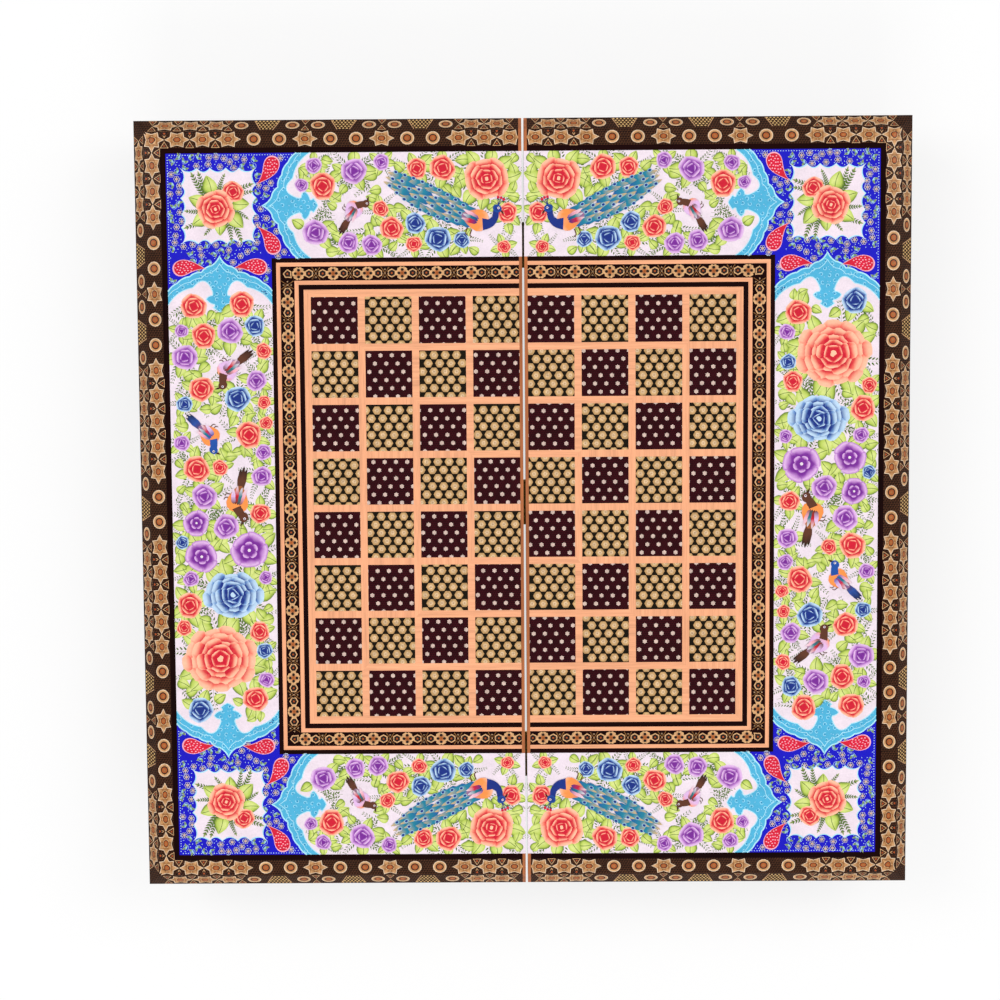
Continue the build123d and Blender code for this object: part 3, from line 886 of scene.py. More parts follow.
def peacock(layer, pose):
    """Peacock about 70 long: a train of eyed feathers to -u, orange breast, navy neck and a crested head."""
    z = BLOOM_LAYER + 0.18
    for row in range(9):
        u = -52 + 6.0 * row
        spread = 3.2 + 5.2 * math.sin(math.pi * (row + 1.0) / 10.5)
        count = 3 + (row % 2)
        v = np.linspace(-spread, spread, count) + 0.0022 * (u + 20) ** 2
        lift = z + 0.012 * row
        vane, eye = ["feather_blue", "teal", "turquoise_deep", "gold"], ["navy", "navy", "turquoise_pale"]
        pose.mark(layer, "leaflet", u + 7, v * 0.9, 180 + v * 0.8, 15, 5.8, lift, vane)
        pose.mark(layer, "disc", u - 3.2, v, 0, 1.5, 1.15, lift + 0.035, eye)
    top = z + 0.13
    pose.mark(layer, "round_petal", -6, 0, 6, 18, 16, top, ["feather_blue", "orange", "orange", "coral"])
    feathers = (("pink", 172, 12, 2.0), ("teal", 180, 11, 0.8), ("crimson", 188, 11, -0.6))
    for k, (colour, degrees, length, v) in enumerate(feathers):
        pose.mark(layer, "leaflet", 5.5, v, degrees, length, 4.0, top + 0.03 + 0.015 * k, ["navy", colour, "white"])
    pose.line(layer, [(9, 0), (13, 2.5), (14.5, 7), (13.2, 11.5)], [4.0, 2.7, 2.0, 1.8], top + 0.02, "navy", 0.08)
    pose.mark(layer, "disc", 13.4, 13, 0, 2.9, 2.5, top + 0.10, ["navy", "feather_blue"])
    pose.mark(layer, "leaflet", 15.4, 13, -24, 3.8, 1.5, top + 0.09, ["ink", "brown"])
    pose.mark(layer, "dot", 14, 13.6, 0, 0.8, 0.8, top + 0.14, "white")
    pose.mark(layer, "dot", 14.1, 13.6, 0, 0.4, 0.4, top + 0.17, "ink")
    for degrees in (70, 92, 114):
        a = math.radians(degrees)
        tip = (13 + 5.2 * math.cos(a), 15 + 5.2 * math.sin(a))
        half_way = ((13 + tip[0]) / 2, (15 + tip[1]) / 2)
        pose.line(layer, [(13, 15), half_way, tip], [0.22, 0.2, 0.2], top + 0.05, "navy", 0.03)
        pose.mark(layer, "dot", *tip, 0, 0.9, 0.9, top + 0.07, "red")
    for u in (1, 4):
        pose.line(layer, [(u, -6), (u + 0.5, -9.6), (u + 2.4, -10.4)], [0.4, 0.32, 0.25], z, "brown", 0.03)


def clear_of(x, y, others, gap):
    """True where a place is at least gap plus the other's radius from every other (x, y, radius)."""
    others = np.asarray(others, float).reshape(-1, 3)
    far = np.hypot(x[:, None] - others[:, 0], y[:, None] - others[:, 1]) - others[:, 2]
    return far.min(axis=1) > gap


def scatter(rng, area, taken, radius, tries, allowed):
    """Random places, each clear of those taken before it by its own radius."""
    low_x, high_x, low_y, high_y = area
    x, y = rng.uniform(low_x, high_x, tries), rng.uniform(low_y, high_y, tries)
    keep = allowed(x, y)
    placed = []
    for place in zip(x[keep], y[keep]):
        if clear_of(*np.array(place)[:, None], taken, radius)[0]:
            taken.append((*place, radius))
            placed.append(place)
    return np.array(placed).reshape(-1, 2)


def fits(outline, radius):
    """A test of places: a disc of this radius round them lies inside the outline."""
    t = around(8)

    def test(x, y):
        return inside(outline, x[:, None] + radius * np.cos(t), y[:, None] + radius * np.sin(t)).all(axis=1)

    return test


def inset(area, margin):
    """A panel's low and high x and y, moved in from its edges."""
    low_x, high_x, low_y, high_y = area
    return low_x + margin, high_x - margin, low_y + margin, high_y - margin


def garland(layer, rng, blossoms, taken, area, walls, reserve):
    """Fills a reserve: the large blossoms with a ruff of leaves, then smaller ones where there is room,
    then single leaves, and sprays of fern in what is left. A plant may run on to the panel's walls, where it
    is cut off, but not out of the reserve."""

    def grow(plant, x, y, angle, length):
        x, y, angle, length = np.broadcast_arrays(x, y, angle, length)
        keep = np.full(x.shape, True)
        for lean, share in ((-0.2, 0.6), (0.6, 0.6), (0.0, 1.05), (0.3, 1.05)):
            out_x = np.clip(x + share * length * np.cos(angle + lean), walls[0] + 0.5, walls[1] - 0.5)
            out_y = np.clip(y + share * length * np.sin(angle + lean), walls[2] + 0.5, walls[3] - 0.5)
            keep &= inside(reserve, out_x, out_y)
        if keep.any():
            plant(layer, x[keep], y[keep], angle[keep], length[keep])

    for kind, x, y, size, squash in blossoms:
        ruff = 8 if size > 12 else 5
        turn = rng.uniform(0, 2 * np.pi) + np.arange(ruff) * 2 * np.pi / ruff + rng.normal(0, 0.15, ruff)
        off = 0.78 * size
        long = min(6.5 + 0.28 * size, 12.0) * rng.uniform(0.9, 1.15, ruff)
        lean = turn + rng.normal(0, 0.35, ruff)
        grow(leaves, x + off * np.cos(turn), y + off * squash * np.sin(turn), lean, long)
        spray = turn + 0.45
        grow(fronds, x + off * np.cos(spray), y + off * squash * np.sin(spray), spray, 9.0 + 0.25 * size)
        bloom(layer, kind, x, y, size, rng.uniform(0, TURN), squash)
    kinds = ("lilac_rose", "rose", "blue_rose", "lilac_rose", "rose")
    number = 0
    for size in (8.2, 6.6, 5.2, 4.4):
        for x, y in scatter(rng, inset(area, 0.9 * size), taken, size + 0.5, 500, fits(reserve, 1.15 * size)):
            turn = rng.uniform(0, 2 * np.pi) + np.arange(4) * 1.57 + rng.normal(0, 0.25, 4)
            long = np.maximum(size * rng.uniform(1.0, 1.4, 4), 6.5)
            grow(leaves, x + 0.6 * size * np.cos(turn), y + 0.6 * size * np.sin(turn), turn, long)
            spray = turn + 0.8
            grow(fronds, x + 0.6 * size * np.cos(spray), y + 0.6 * size * np.sin(spray), spray, 4.0 + size)
            bloom(layer, kinds[number % len(kinds)], x, y, size, rng.uniform(0, TURN))
            number += 1
    places = scatter(rng, inset(area, 2.0), taken, 2.4, 700, fits(reserve, 4.0))
    turn = rng.uniform(0, TURN, len(places))
    foot = turned(*places.T, turn, -4, 0.0)
    grow(leaves, *foot, turn, rng.uniform(7, 9.5, len(places)))
    places = scatter(rng, inset(area, 2.0), taken, 1.6, 900, fits(reserve, 5.0))
    turn = rng.uniform(0, TURN, len(places))
    foot = turned(*places.T, turn, -5, 0.0)
    grow(fronds, *foot, turn, rng.uniform(10, 13, len(places)))


def long_panel(sizes):
    """Top reserve of the right half with its corner medallion: a peacock, a songbird and garlands."""
    layer = Layer()
    rng = np.random.default_rng(11)
    reserve = Cartouche("top", sizes).to_board(reserve_outline(sizes.long_tip, sizes.head_depth))
    spine = reach("right_spine_strip", 0, 0) + 1.0
    room = np.concatenate([reserve, [[spine, PANEL_MIDDLE - PANEL_HALF], [spine, PANEL_MIDDLE + PANEL_HALF]]])
    peacock(layer, Pose(34.0, 186.0, math.radians(205), 1.0, -1))
    songbird(layer, Pose(110.0, 190.0, math.radians(118), 0.95, 1), "brown", "lilac")
    along = np.linspace(0, 1, 8)
    taken = [(34 + 50 * t, 186 + 22 * t, 8.5) for t in along] + [(24, 176, 9), (110, 190, 11), (106, 200, 6)]
    blossoms = [
        ("great_rose", 23.0, 211.0, 15.0, 0.9), ("rose", 128.0, 207.0, 8.5, 1.0), ("rose", 84.0, 180.0, 7.5, 1.0),
    ]
    taken += [(x, y, size) for _, x, y, size, _ in blossoms]
    area = (spine, 150, PANEL_MIDDLE - PANEL_HALF, PANEL_MIDDLE + PANEL_HALF)
    garland(layer, rng, blossoms, taken, area, (spine, 300, *area[2:]), room)

    middle = np.array([PANEL_MIDDLE, PANEL_MIDDLE])
    turn = np.radians([10, 62, 118, 170, 215, 262, 318])
    x, y = middle[0] + 9 * np.cos(turn), middle[1] + 9 * np.sin(turn)
    leaves(layer, x, y, turn + 0.2, np.array([11, 12, 10, 11, 12, 10, 12]))
    fern = np.radians([38, 47, 90, 135, 145, 192, 225, 238, 285, 315, 340])
    long = np.array([21, 19, 15, 20, 18, 15, 21, 18, 15, 20, 16])
    fronds(layer, middle[0] + 5 * np.cos(fern), middle[1] + 5 * np.sin(fern), fern, 0.9 * long, pairs=9)
    bloom(layer, "great_rose", *(middle + (2, -2)), 12.5, 0.4)
    bloom(layer, "rose", *(middle + (-9.5, 9.0)), 6.8, 1.0, base=BLOOM_LAYER - 0.03)
    layer.clamp(spine - 1.0, PAINT_OUTER, PAINT_INNER, PAINT_OUTER)
    layer.mirror()
    return layer


def side_panel(sizes):
    """Reserve along the right edge: two peonies and pansies near its upper end, then three songbirds."""
    layer = Layer()
    rng = np.random.default_rng(23)
    panel = Cartouche("side", sizes)
    reserve = reserve_outline(panel.tip, sizes.head_depth)
    room = np.concatenate([panel.to_board(reserve, 1), panel.to_board(reserve, -1)[::-1]])
    songbird(layer, Pose(186.0, -8.0, math.radians(75), 1.2, 1), "brown", "orange")
    songbird(layer, Pose(205.0, -50.0, math.radians(140), 1.05, -1), "feather_blue", "orange")
    songbird(layer, Pose(189.0, -92.0, math.radians(35), 1.1, 1), "brown", "lilac")
    taken = [(186, -10, 12), (184, -24, 7), (205, -50, 12), (213, -58, 6), (190, -92, 12), (180, -98, 6)]
    blossoms = [
        ("peony", 199.0, 98.0, 25.0, 0.86), ("blue_peony", 190.0, 56.0, 20.0, 0.74),
        ("pansy", 210.0, 31.0, 10.5, 1.0), ("pansy", 179.0, 27.0, 12.0, 1.0), ("pansy", 213.0, 9.0, 8.5, 1.0),
        ("rose", 212.0, -26.0, 8.5, 1.0), ("rose", 178.0, -48.0, 8.5, 1.0), ("rose", 208.0, -78.0, 8.0, 1.0),
        ("rose", 206.0, -112.0, 8.0, 1.0),
    ]
    taken += [(x, y, size * (0.95 if size > 15 else 1.0)) for _, x, y, size, _ in blossoms]
    area = (PANEL_MIDDLE - PANEL_HALF, PANEL_MIDDLE + PANEL_HALF, -142, 142)
    garland(layer, rng, blossoms, taken, area, (*area[:2], -300, 300), room)
    layer.clamp(PAINT_INNER, PAINT_OUTER, -PAINT_OUTER, PAINT_OUTER)
    return layer


def curls(rng, places, radius, shrink, turns, steps):
    """Small spirals round places, each from a start of its own: radius (1 - shrink t), for turns half turns."""
    t = np.linspace(0, turns * np.pi, steps)[None]
    start = rng.uniform(0, TURN, len(places))[:, None]
    return np.stack(turned(places[:, :1], places[:, 1:], start + t, radius * (1 - shrink * t), 0.0), axis=-1)


def cobalt_ornament(sizes):
    """Florets of five dots, pale leaves, curls and rows of dots on the cobalt corners."""
    layer = Layer()
    rng = np.random.default_rng(3)
    low = sizes.side_tip - sizes.head_depth - 6
    side, top = Cartouche("side", sizes), Cartouche("top", sizes)
    heads = [p.to_board(head_outline(p.tip + 1.5, sizes.head_depth)) for p in (side, top)]
    centres = [np.array([[PANEL_MIDDLE - PANEL_HALF, low - 30], [PANEL_MIDDLE + PANEL_HALF, low - 30]])]
    centres.append(np.array([[low - 30, PANEL_MIDDLE + PANEL_HALF], [low - 30, PANEL_MIDDLE - PANEL_HALF]]))
    closed = [np.concatenate([h, c[::-1] if k == 0 else c]) for k, (h, c) in enumerate(zip(heads, centres))]
    medallion = medallion_outline(sizes.medallion / 2 + 1.8) + (PANEL_MIDDLE, PANEL_MIDDLE)
    red = [(162, 219.5, 8), (162, 171, 8), (219.5, 157, 8), (172.5, 157.5, 8), (165, 163, 3)]

    def allowed(x, y):
        blocked = inside(medallion, x, y) | inside(closed[0], x, y) | inside(closed[1], x, y)
        within = (x > PAINT_INNER + 1.5) | (y > PAINT_INNER + 1.5)
        return ~blocked & within & (x < PAINT_OUTER - 2) & (y < PAINT_OUTER - 2) & clear_of(x, y, red, 0.5)

    area = (low, PAINT_OUTER, low, PAINT_OUTER)
    taken = [(0, 0, 1)]
    places = scatter(rng, area, taken, 2.1, 2600, allowed)
    florets, sprigs = places[::2], places[1::2]
    x, turn = (a.ravel() for a in np.meshgrid(florets[:, 0], np.arange(6) * np.pi / 3))
    y = np.tile(florets[:, 1], 6)
    ring = ["cobalt_deep", "cobalt_deep", "lilac", "white"]
    stamp(layer, "disc", x + 1.35 * np.cos(turn), y + 1.35 * np.sin(turn), 0.0, 0.75, 0.75, GROUND, 0.04, ring)
    stamp(layer, "dot", florets[:, 0], florets[:, 1], 0.0, 0.6, 0.6, GROUND, 0.05, "gold")
    angle = rng.uniform(0, TURN, len(sprigs))
    for lean in (-0.75, 0.75):
        leaf = (sprigs[:, 0] - np.cos(angle), sprigs[:, 1] - np.sin(angle), angle + lean, 3.3, 2.2)
        stamp(layer, "leaflet", *leaf, GROUND, 0.04, ["turquoise_pale", "fern", "fern_pale"])
    stroke(layer, curls(rng, places, 2.5, 0.13, 1.6, 9), 0.13, GROUND - 0.01, 0.03, "blue_pale")
    places = scatter(rng, area, taken, 0.75, 3600, allowed)
    stamp(layer, "dot", places[:, 0], places[:, 1], 0.0, 0.30, 0.30, GROUND, 0.04, "blue_pale")
    run = np.arange(low + 8, PAINT_OUTER - 1, 1.7)
    for x, y in ((run, run * 0 + PAINT_OUTER - 1.1), (run * 0 + PAINT_OUTER - 1.1, run)):
        stamp(layer, "dot", x, y, 0.0, 0.33, 0.33, GROUND, 0.04, "blue_pale")
    layer.mirror()
    return layer


def turquoise_ornament(sizes):
    """Pale curls and dots, and small deep blue florets, on the turquoise heads."""
    layer = Layer()
    rng = np.random.default_rng(8)
    for panel, end in cartouches(sizes):
        head = head_outline(panel.tip - 2.0, sizes.head_depth)
        inner = panel.edge - 2.3 * sizes.head_depth
        closed = np.concatenate([head, [[inner, -PANEL_HALF], [inner, PANEL_HALF]]])
        reserve = reserve_outline(panel.tip + 1.2, sizes.head_depth)
        hole = np.concatenate([reserve, [[inner, -PANEL_HALF], [inner, PANEL_HALF]]])

        def allowed(u, v):
            return inside(closed, u, v) & ~inside(hole, u, v) & (np.abs(v) < PANEL_HALF - 1.2)

        area = (inner, panel.tip, -PANEL_HALF, PANEL_HALF)
        taken = [(0, 0, 1)]
        places = scatter(rng, area, taken, 1.7, 900, allowed)
        base = SCROLL - 0.02
        spirals = curls(rng, places, 1.45, 0.12, 1.5, 8)
        stroke(layer, panel.to_board(spirals, end), 0.22, base, 0.03, "turquoise_pale")
        hearts = panel.to_board(places, end).T
        stamp(layer, "dot", *hearts, 0.0, 0.5, 0.5, base, HIGH_DOME, ["turquoise_deep", "feather_blue"])
        seeds = panel.to_board(scatter(rng, area, taken, 0.7, 900, allowed), end).T
        stamp(layer, "dot", *seeds, 0.0, 0.30, 0.30, base, HIGH_DOME, ["white", "turquoise_pale"])
    return layer


# Materials


def add(tree, kind, inputs=None, **settings):
    """Adds a node, sets its properties, and fills its inputs with values or with other nodes' outputs."""
    made = tree.nodes.new("ShaderNode" + kind)
    for key, value in settings.items():
        setattr(made, key, value)
    for key, value in (inputs or {}).items():
        if isinstance(value, bpy.types.NodeSocket):
            tree.links.new(value, made.inputs[key])
        else:
            made.inputs[key].default_value = value
    return made


def new_material(name):
    material = bpy.data.materials.new(name)
    material.use_nodes = True
    material.node_tree.nodes.clear()
    return material, material.node_tree


def rgba(colour):
    return (*(linear(colour) if isinstance(colour, str) else colour), 1.0)


def close(tree, colour, roughness, height=None, relief_mm=0.02, coat=0.12, specular=0.12, metallic=0.0):
    """The surface's shader: its colour and roughness, a bump of relief_mm, and a lacquer coat."""
    inputs = {
        "Base Color": colour, "Roughness": roughness, "Metallic": metallic,
        "Specular IOR Level": specular, "Coat Weight": coat, "Coat Roughness": 0.06,
    }
    if height is not None:
        bump = add(tree, "Bump", {"Height": height, "Distance": relief_mm * MM, "Strength": 0.6})
        inputs["Normal"] = bump.outputs["Normal"]
    shader = add(tree, "BsdfPrincipled", inputs)
    add(tree, "OutputMaterial", {"Surface": shader.outputs["BSDF"]})


def millimetres(tree, across=1.0, along=1.0, deep=1.0):
    """Object coordinates counted in pattern sizes, given in millimetres for X, Y and Z."""
    place = add(tree, "TexCoord")
    return add(
        tree, "Mapping", {"Vector": place.outputs["Object"], "Scale": (1 / MM / across, 1 / MM / along, 1 / MM / deep)}
    ).outputs["Vector"]


def toned(tree, colour, tone, low, high, dark, pale):
    """A colour in uneven tones: the tone's range from low to high becomes a brightness from dark to pale."""
    level = add(tree, "MapRange", {"Value": tone, "From Min": low, "From Max": high, "To Min": dark, "To Max": pale})
    return add(tree, "VectorMath", {0: colour, "Scale": level.outputs[0]}, operation="SCALE").outputs["Vector"]


def wood(
    name, colour, contrast=1.3, grain=0.7, length=26.0, along="Y", pores=0.5, coat=0.12, roughness=0.38, specular=0.12
):
    """Lacquered wood: growth lines as stretched noise from colour / contrast to colour times contrast, and
    short dark pores along the grain. The eye gets a warm streaky colour under a thin even gloss."""
    material, tree = new_material(name)
    colour = np.array(colour)
    light, dark = np.minimum(colour * contrast, 1.0), colour / contrast
    runs = {"X": (length, grain, grain), "Y": (grain, length, grain)}
    if along == "mitred":
        place = add(tree, "SeparateXYZ", {"Vector": add(tree, "TexCoord").outputs["Object"]})
        x, y = (add(tree, "Math", {0: place.outputs[axis]}, operation="ABSOLUTE").outputs[0] for axis in "XY")
        top = add(tree, "Math", {0: y, 1: x}, operation="GREATER_THAN")
        parts = {"Factor": top.outputs[0], "A": millimetres(tree, *runs["Y"]), "B": millimetres(tree, *runs["X"])}
        vector = add(tree, "Mix", parts, data_type="VECTOR").outputs["Result"]
    else:
        vector = millimetres(tree, *runs[along])
    lines, broad, fine = (
        add(tree, "TexNoise", {"Vector": vector, "Scale": scale, "Detail": detail, "Roughness": 0.6})
        for scale, detail in ((1.0, 4.0), (1 / 6, 2.0), (3.0, 1.0))
    )
    both = add(tree, "Math", {0: lines.outputs["Fac"], 1: broad.outputs["Fac"]}, operation="ADD")
    spread = add(tree, "MapRange", {"Value": both.outputs[0], "From Min": 0.72, "From Max": 1.28})
    colour = add(tree, "Mix", {"Factor": spread.outputs[0], "A": rgba(dark), "B": rgba(light)}, data_type="RGBA")
    pore = add(tree, "MapRange", {"Value": fine.outputs["Fac"], "From Min": 0.60, "From Max": 0.70, "To Max": pores})
    shaded = add(
        tree, "Mix",
        {"Factor": pore.outputs[0], "A": colour.outputs["Result"], "B": rgba(dark * 0.45)}, data_type="RGBA",
    )
    close(tree, shaded.outputs["Result"], roughness, lines.outputs["Fac"], 0.03, coat, specular)
    return material


def lacquered_paint():
    """Opaque gouache in strokes about 1 mm wide, sealed under clear lacquer. The eye gets saturated flat
    colours with a slight unevenness, and one soft gloss over all of them."""
    material, tree = new_material("gouache_under_lacquer")
    paint = add(tree, "Attribute", attribute_name="paint")
    strokes = add(tree, "TexNoise", {"Vector": millimetres(tree, 1.1, 1.1, 1.1), "Scale": 1.0, "Detail": 3.0})
    washes = add(tree, "TexNoise", {"Vector": millimetres(tree, 9, 9, 9), "Scale": 1.0, "Detail": 2.0})
    both = add(tree, "Math", {0: strokes.outputs["Fac"], 1: washes.outputs["Fac"]}, operation="ADD")
    shade = toned(tree, paint.outputs["Color"], both.outputs[0], 0.6, 1.4, 0.88, 1.08)
    close(tree, shade, 0.42, strokes.outputs["Fac"], 0.012)
    return material


def lacquered_inlay():
    """Slips of wood, bone and brass set flush and sanded, under clear lacquer. Each slip has fine grain and
    its own tone, at about 1.5 mm."""
    material, tree = new_material("khatam_inlay_under_lacquer")
    paint = add(tree, "Attribute", attribute_name="paint")
    slips = add(tree, "TexVoronoi", {"Vector": millimetres(tree, 1.6, 1.6, 1.6), "Scale": 1.0})
    tone = add(tree, "RGBToBW", {"Color": slips.outputs["Color"]})
    grain = add(tree, "TexNoise", {"Vector": millimetres(tree, 0.35, 2.4, 0.35), "Scale": 1.0, "Detail": 2.0})
    both = add(tree, "Math", {0: tone.outputs[0], 1: grain.outputs["Fac"]}, operation="ADD")
    shade = toned(tree, paint.outputs["Color"], both.outputs[0], 0.4, 1.6, 0.74, 1.22)
    close(tree, shade, 0.36, grain.outputs["Fac"], 0.01)
    return material


def mosaic(name, slips, ground, joints, size=1.25, upright=False):
    """Three-cornered mosaic on a level face, or on the upright sides, where x + y runs along the side: three
    sets of parallel joints at 60 degrees, size apart, part the slips. Slips alternate between two tones by
    which side of each joint they lie on."""
    material, tree = new_material(name)
    place = millimetres(tree, 1.0, 1.0, 1.0)
    sawn = []
    for degrees in (0, 60, 120):
        along, across = math.sin(math.radians(degrees)) / size, math.cos(math.radians(degrees)) / size
        normal = (along, along, across) if upright else (along, across, 0.0)
        along = add(tree, "VectorMath", {0: place, 1: normal}, operation="DOT_PRODUCT")
        sawn.append(add(tree, "Math", {0: along.outputs["Value"]}, operation="FRACT").outputs[0])
    total = add(tree, "Math", {0: sawn[0], 1: sawn[1]}, operation="ADD")
    total = add(tree, "Math", {0: total.outputs[0], 1: sawn[2]}, operation="ADD")
    which = add(tree, "MapRange", {"Value": total.outputs[0], "From Min": 1.35, "From Max": 1.55})
    edge = add(tree, "Math", {0: sawn[0], 1: sawn[1]}, operation="MINIMUM")
    edge = add(tree, "Math", {0: edge.outputs[0], 1: sawn[2]}, operation="MINIMUM")
    joint = add(tree, "MapRange", {"Value": edge.outputs[0], "From Min": 0.10, "From Max": 0.18})
    slip = add(tree, "Mix", {"Factor": which.outputs[0], "A": rgba(ground), "B": rgba(slips)}, data_type="RGBA")
    colour = add(
        tree, "Mix", {"Factor": joint.outputs[0], "A": rgba(joints), "B": slip.outputs["Result"]}, data_type="RGBA"
    )
    tone = add(tree, "TexNoise", {"Vector": millimetres(tree, 5, 5, 5), "Scale": 1.0, "Detail": 3.0})
    shade = toned(tree, colour.outputs["Result"], tone.outputs["Fac"], 0.3, 0.7, 0.75, 1.15)
    close(tree, shade, 0.45, joint.outputs[0], 0.01, 0.04, 0.04)
    return material


def satin_brass():
    """Brass strip, brushed along the leaf and lightly tarnished. The eye gets warm yellow metal with fine streaks and
    browner patches of tarnish."""
    material, tree = new_material("satin_brass")
    brushed = add(tree, "TexNoise", {"Vector": millimetres(tree, 0.25, 12, 0.25), "Scale": 1.0, "Detail": 3.0})
    tarnish = add(tree, "TexNoise", {"Vector": millimetres(tree, 6, 6, 6), "Scale": 1.0, "Detail": 4.0})
    spread = add(tree, "MapRange", {"Value": tarnish.outputs["Fac"], "From Min": 0.4, "From Max": 0.72})
    colour = add(
        tree, "Mix", {"Factor": spread.outputs[0], "A": rgba("#E2B860"), "B": rgba("#B48A48")}, data_type="RGBA"
    )
    rough = add(tree, "MapRange", {"Value": brushed.outputs["Fac"], "To Min": 0.22, "To Max": 0.45})
    close(tree, colour.outputs["Result"], rough.outputs[0], brushed.outputs["Fac"], 0.01, 0.0, 0.5, 1.0)
    return material


def dress(node, material):
    """Gives a CAD node's mesh its material."""
    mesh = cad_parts[node].data
    mesh.materials.clear()
    mesh.materials.append(material)


# Add-on: settings, operators and panel


def length_setting(name, description, millimetres_):
    return bpy.props.FloatProperty(
        name=name, description=description, default=millimetres_ * MM, min=0.0, precision=4, unit="LENGTH"
    )


class BoardSizes(bpy.types.PropertyGroup):
    """Sizes of the inlay and the painted borders."""

    pitch: length_setting("Square pitch", "From one square to the next", 34.7)
    strip: length_setting("Strip", "Width of the light strips", 4.6)
    first_strip: length_setting("First strip", "From the hinge line to the first strip's middle", 34.9)
    dot_pitch: length_setting("Dot pitch", "Between motifs of one row", 7.3)
    dot_rise: length_setting("Dot rise", "Between rows of motifs", 5.3)
    star_pitch: length_setting(
        "Star pitch", "Between stars of the moulding, so that one lies on each mitre",
        (STRING_OUTER + FACET_RUN / 2) / 14.5,
    )
    chain_pitch: length_setting("Chain pitch", "Between knots of the chain", 22.2)
    side_tip: length_setting("Side tip", "From the board's middle to the tips of the side cartouches", 163.0)
    long_tip: length_setting("Long tip", "From the board's middle to the tips of the long cartouches", 167.0)
    head_depth: length_setting("Head", "Depth of a cartouche head", 19.0)
    medallion: length_setting("Medallion", "Width of the corner medallions", 50.0)


def sizes_of(context):
    """The size settings in millimetres, as the formulas take them."""
    settings = context.scene.board_sizes
    return SimpleNamespace(**{name: getattr(settings, name) / MM for name in BoardSizes.__annotations__})


def colour_setting(name, description, default):
    return bpy.props.FloatVectorProperty(
        name=name, description=description, subtype="COLOR", size=3, min=0.0, max=1.0, default=tuple(linear(default))
    )


class BoardColours(bpy.types.PropertyGroup):
    """Colours of the woods and of the painting's grounds."""

    sycamore: colour_setting("Sycamore", "Light strips and lines", "#E6A27A")
    stringing: colour_setting("Stringing", "Black lines", "#140303")
    walnut: colour_setting("Walnut", "Rails", "#5C3520")
    field: colour_setting("Field", "Play fields", "#7A4E28")
    white: colour_setting("White", "Reserves and medallions", "#E6D7E1")
    cobalt: colour_setting("Cobalt", "Corner blocks", "#0E0AB8")
    turquoise: colour_setting("Turquoise", "Cartouche heads", "#4CACD2")
    red: colour_setting("Red", "Paisleys", "#D21838")


class BoardStage(bpy.types.PropertyGroup):
    """Camera and light of the photograph."""

    lens: bpy.props.FloatProperty(name="Lens", description="Focal length", default=77.37, unit="CAMERA")
    lamp: bpy.props.FloatProperty(name="Lamps", description="Power of each soft lamp", default=26.0, unit="POWER")
    sky: bpy.props.FloatProperty(name="Sky", description="Strength of the even light", default=0.55)


CAD_FINISHES = {
    "rail_top": "walnut_x", "rail_bottom": "walnut_x", "rail_end": "walnut_y", "rail_spine": "walnut_y",
    "core_panel": "plywood", "side_veneers": "side_mosaic", "rim_caps": "cap_mosaic", "edge_moulding": "star_ground",
    "outer_stringing": "ebony", "middle_stringing": "ebony", "inner_stringing": "ebony", "inlay_band": "ebony",
    "painted_panel": "white_ground", "border_line_outer": "sycamore", "border_line_inner": "sycamore",
    "chess_lattice": "sycamore", "dark_squares": "dark_ground", "light_squares": "disc_ground",
    "spine_strip": "spine_wood", "field_veneer": "walnut_field", "field_frame": "cap_mosaic",
    "field_points_dark": "dark_ground", "field_points_light": "point_light", "field_medallion": "cap_mosaic",
    "checker_cradles": "walnut_x", "hinge_leaves": "brass", "hinge_screws": "brass",
}


def painted_ground():
    """Chalk ground brushed on the panel and sealed. The eye gets a faintly lilac white with soft clouds."""
    material, tree = new_material("chalk_ground_under_lacquer")
    clouds = add(tree, "TexNoise", {"Vector": millimetres(tree, 14, 14, 14), "Scale": 1.0, "Detail": 3.0})
    spread = add(tree, "MapRange", {"Value": clouds.outputs["Fac"], "From Min": 0.35, "From Max": 0.65})
    colour = add(
        tree, "Mix", {"Factor": spread.outputs[0], "A": rgba("#E2D3DE"), "B": rgba("#ECE1E9")}, data_type="RGBA"
    )
    close(tree, colour.outputs["Result"], 0.4, clouds.outputs["Fac"], 0.02)
    return material


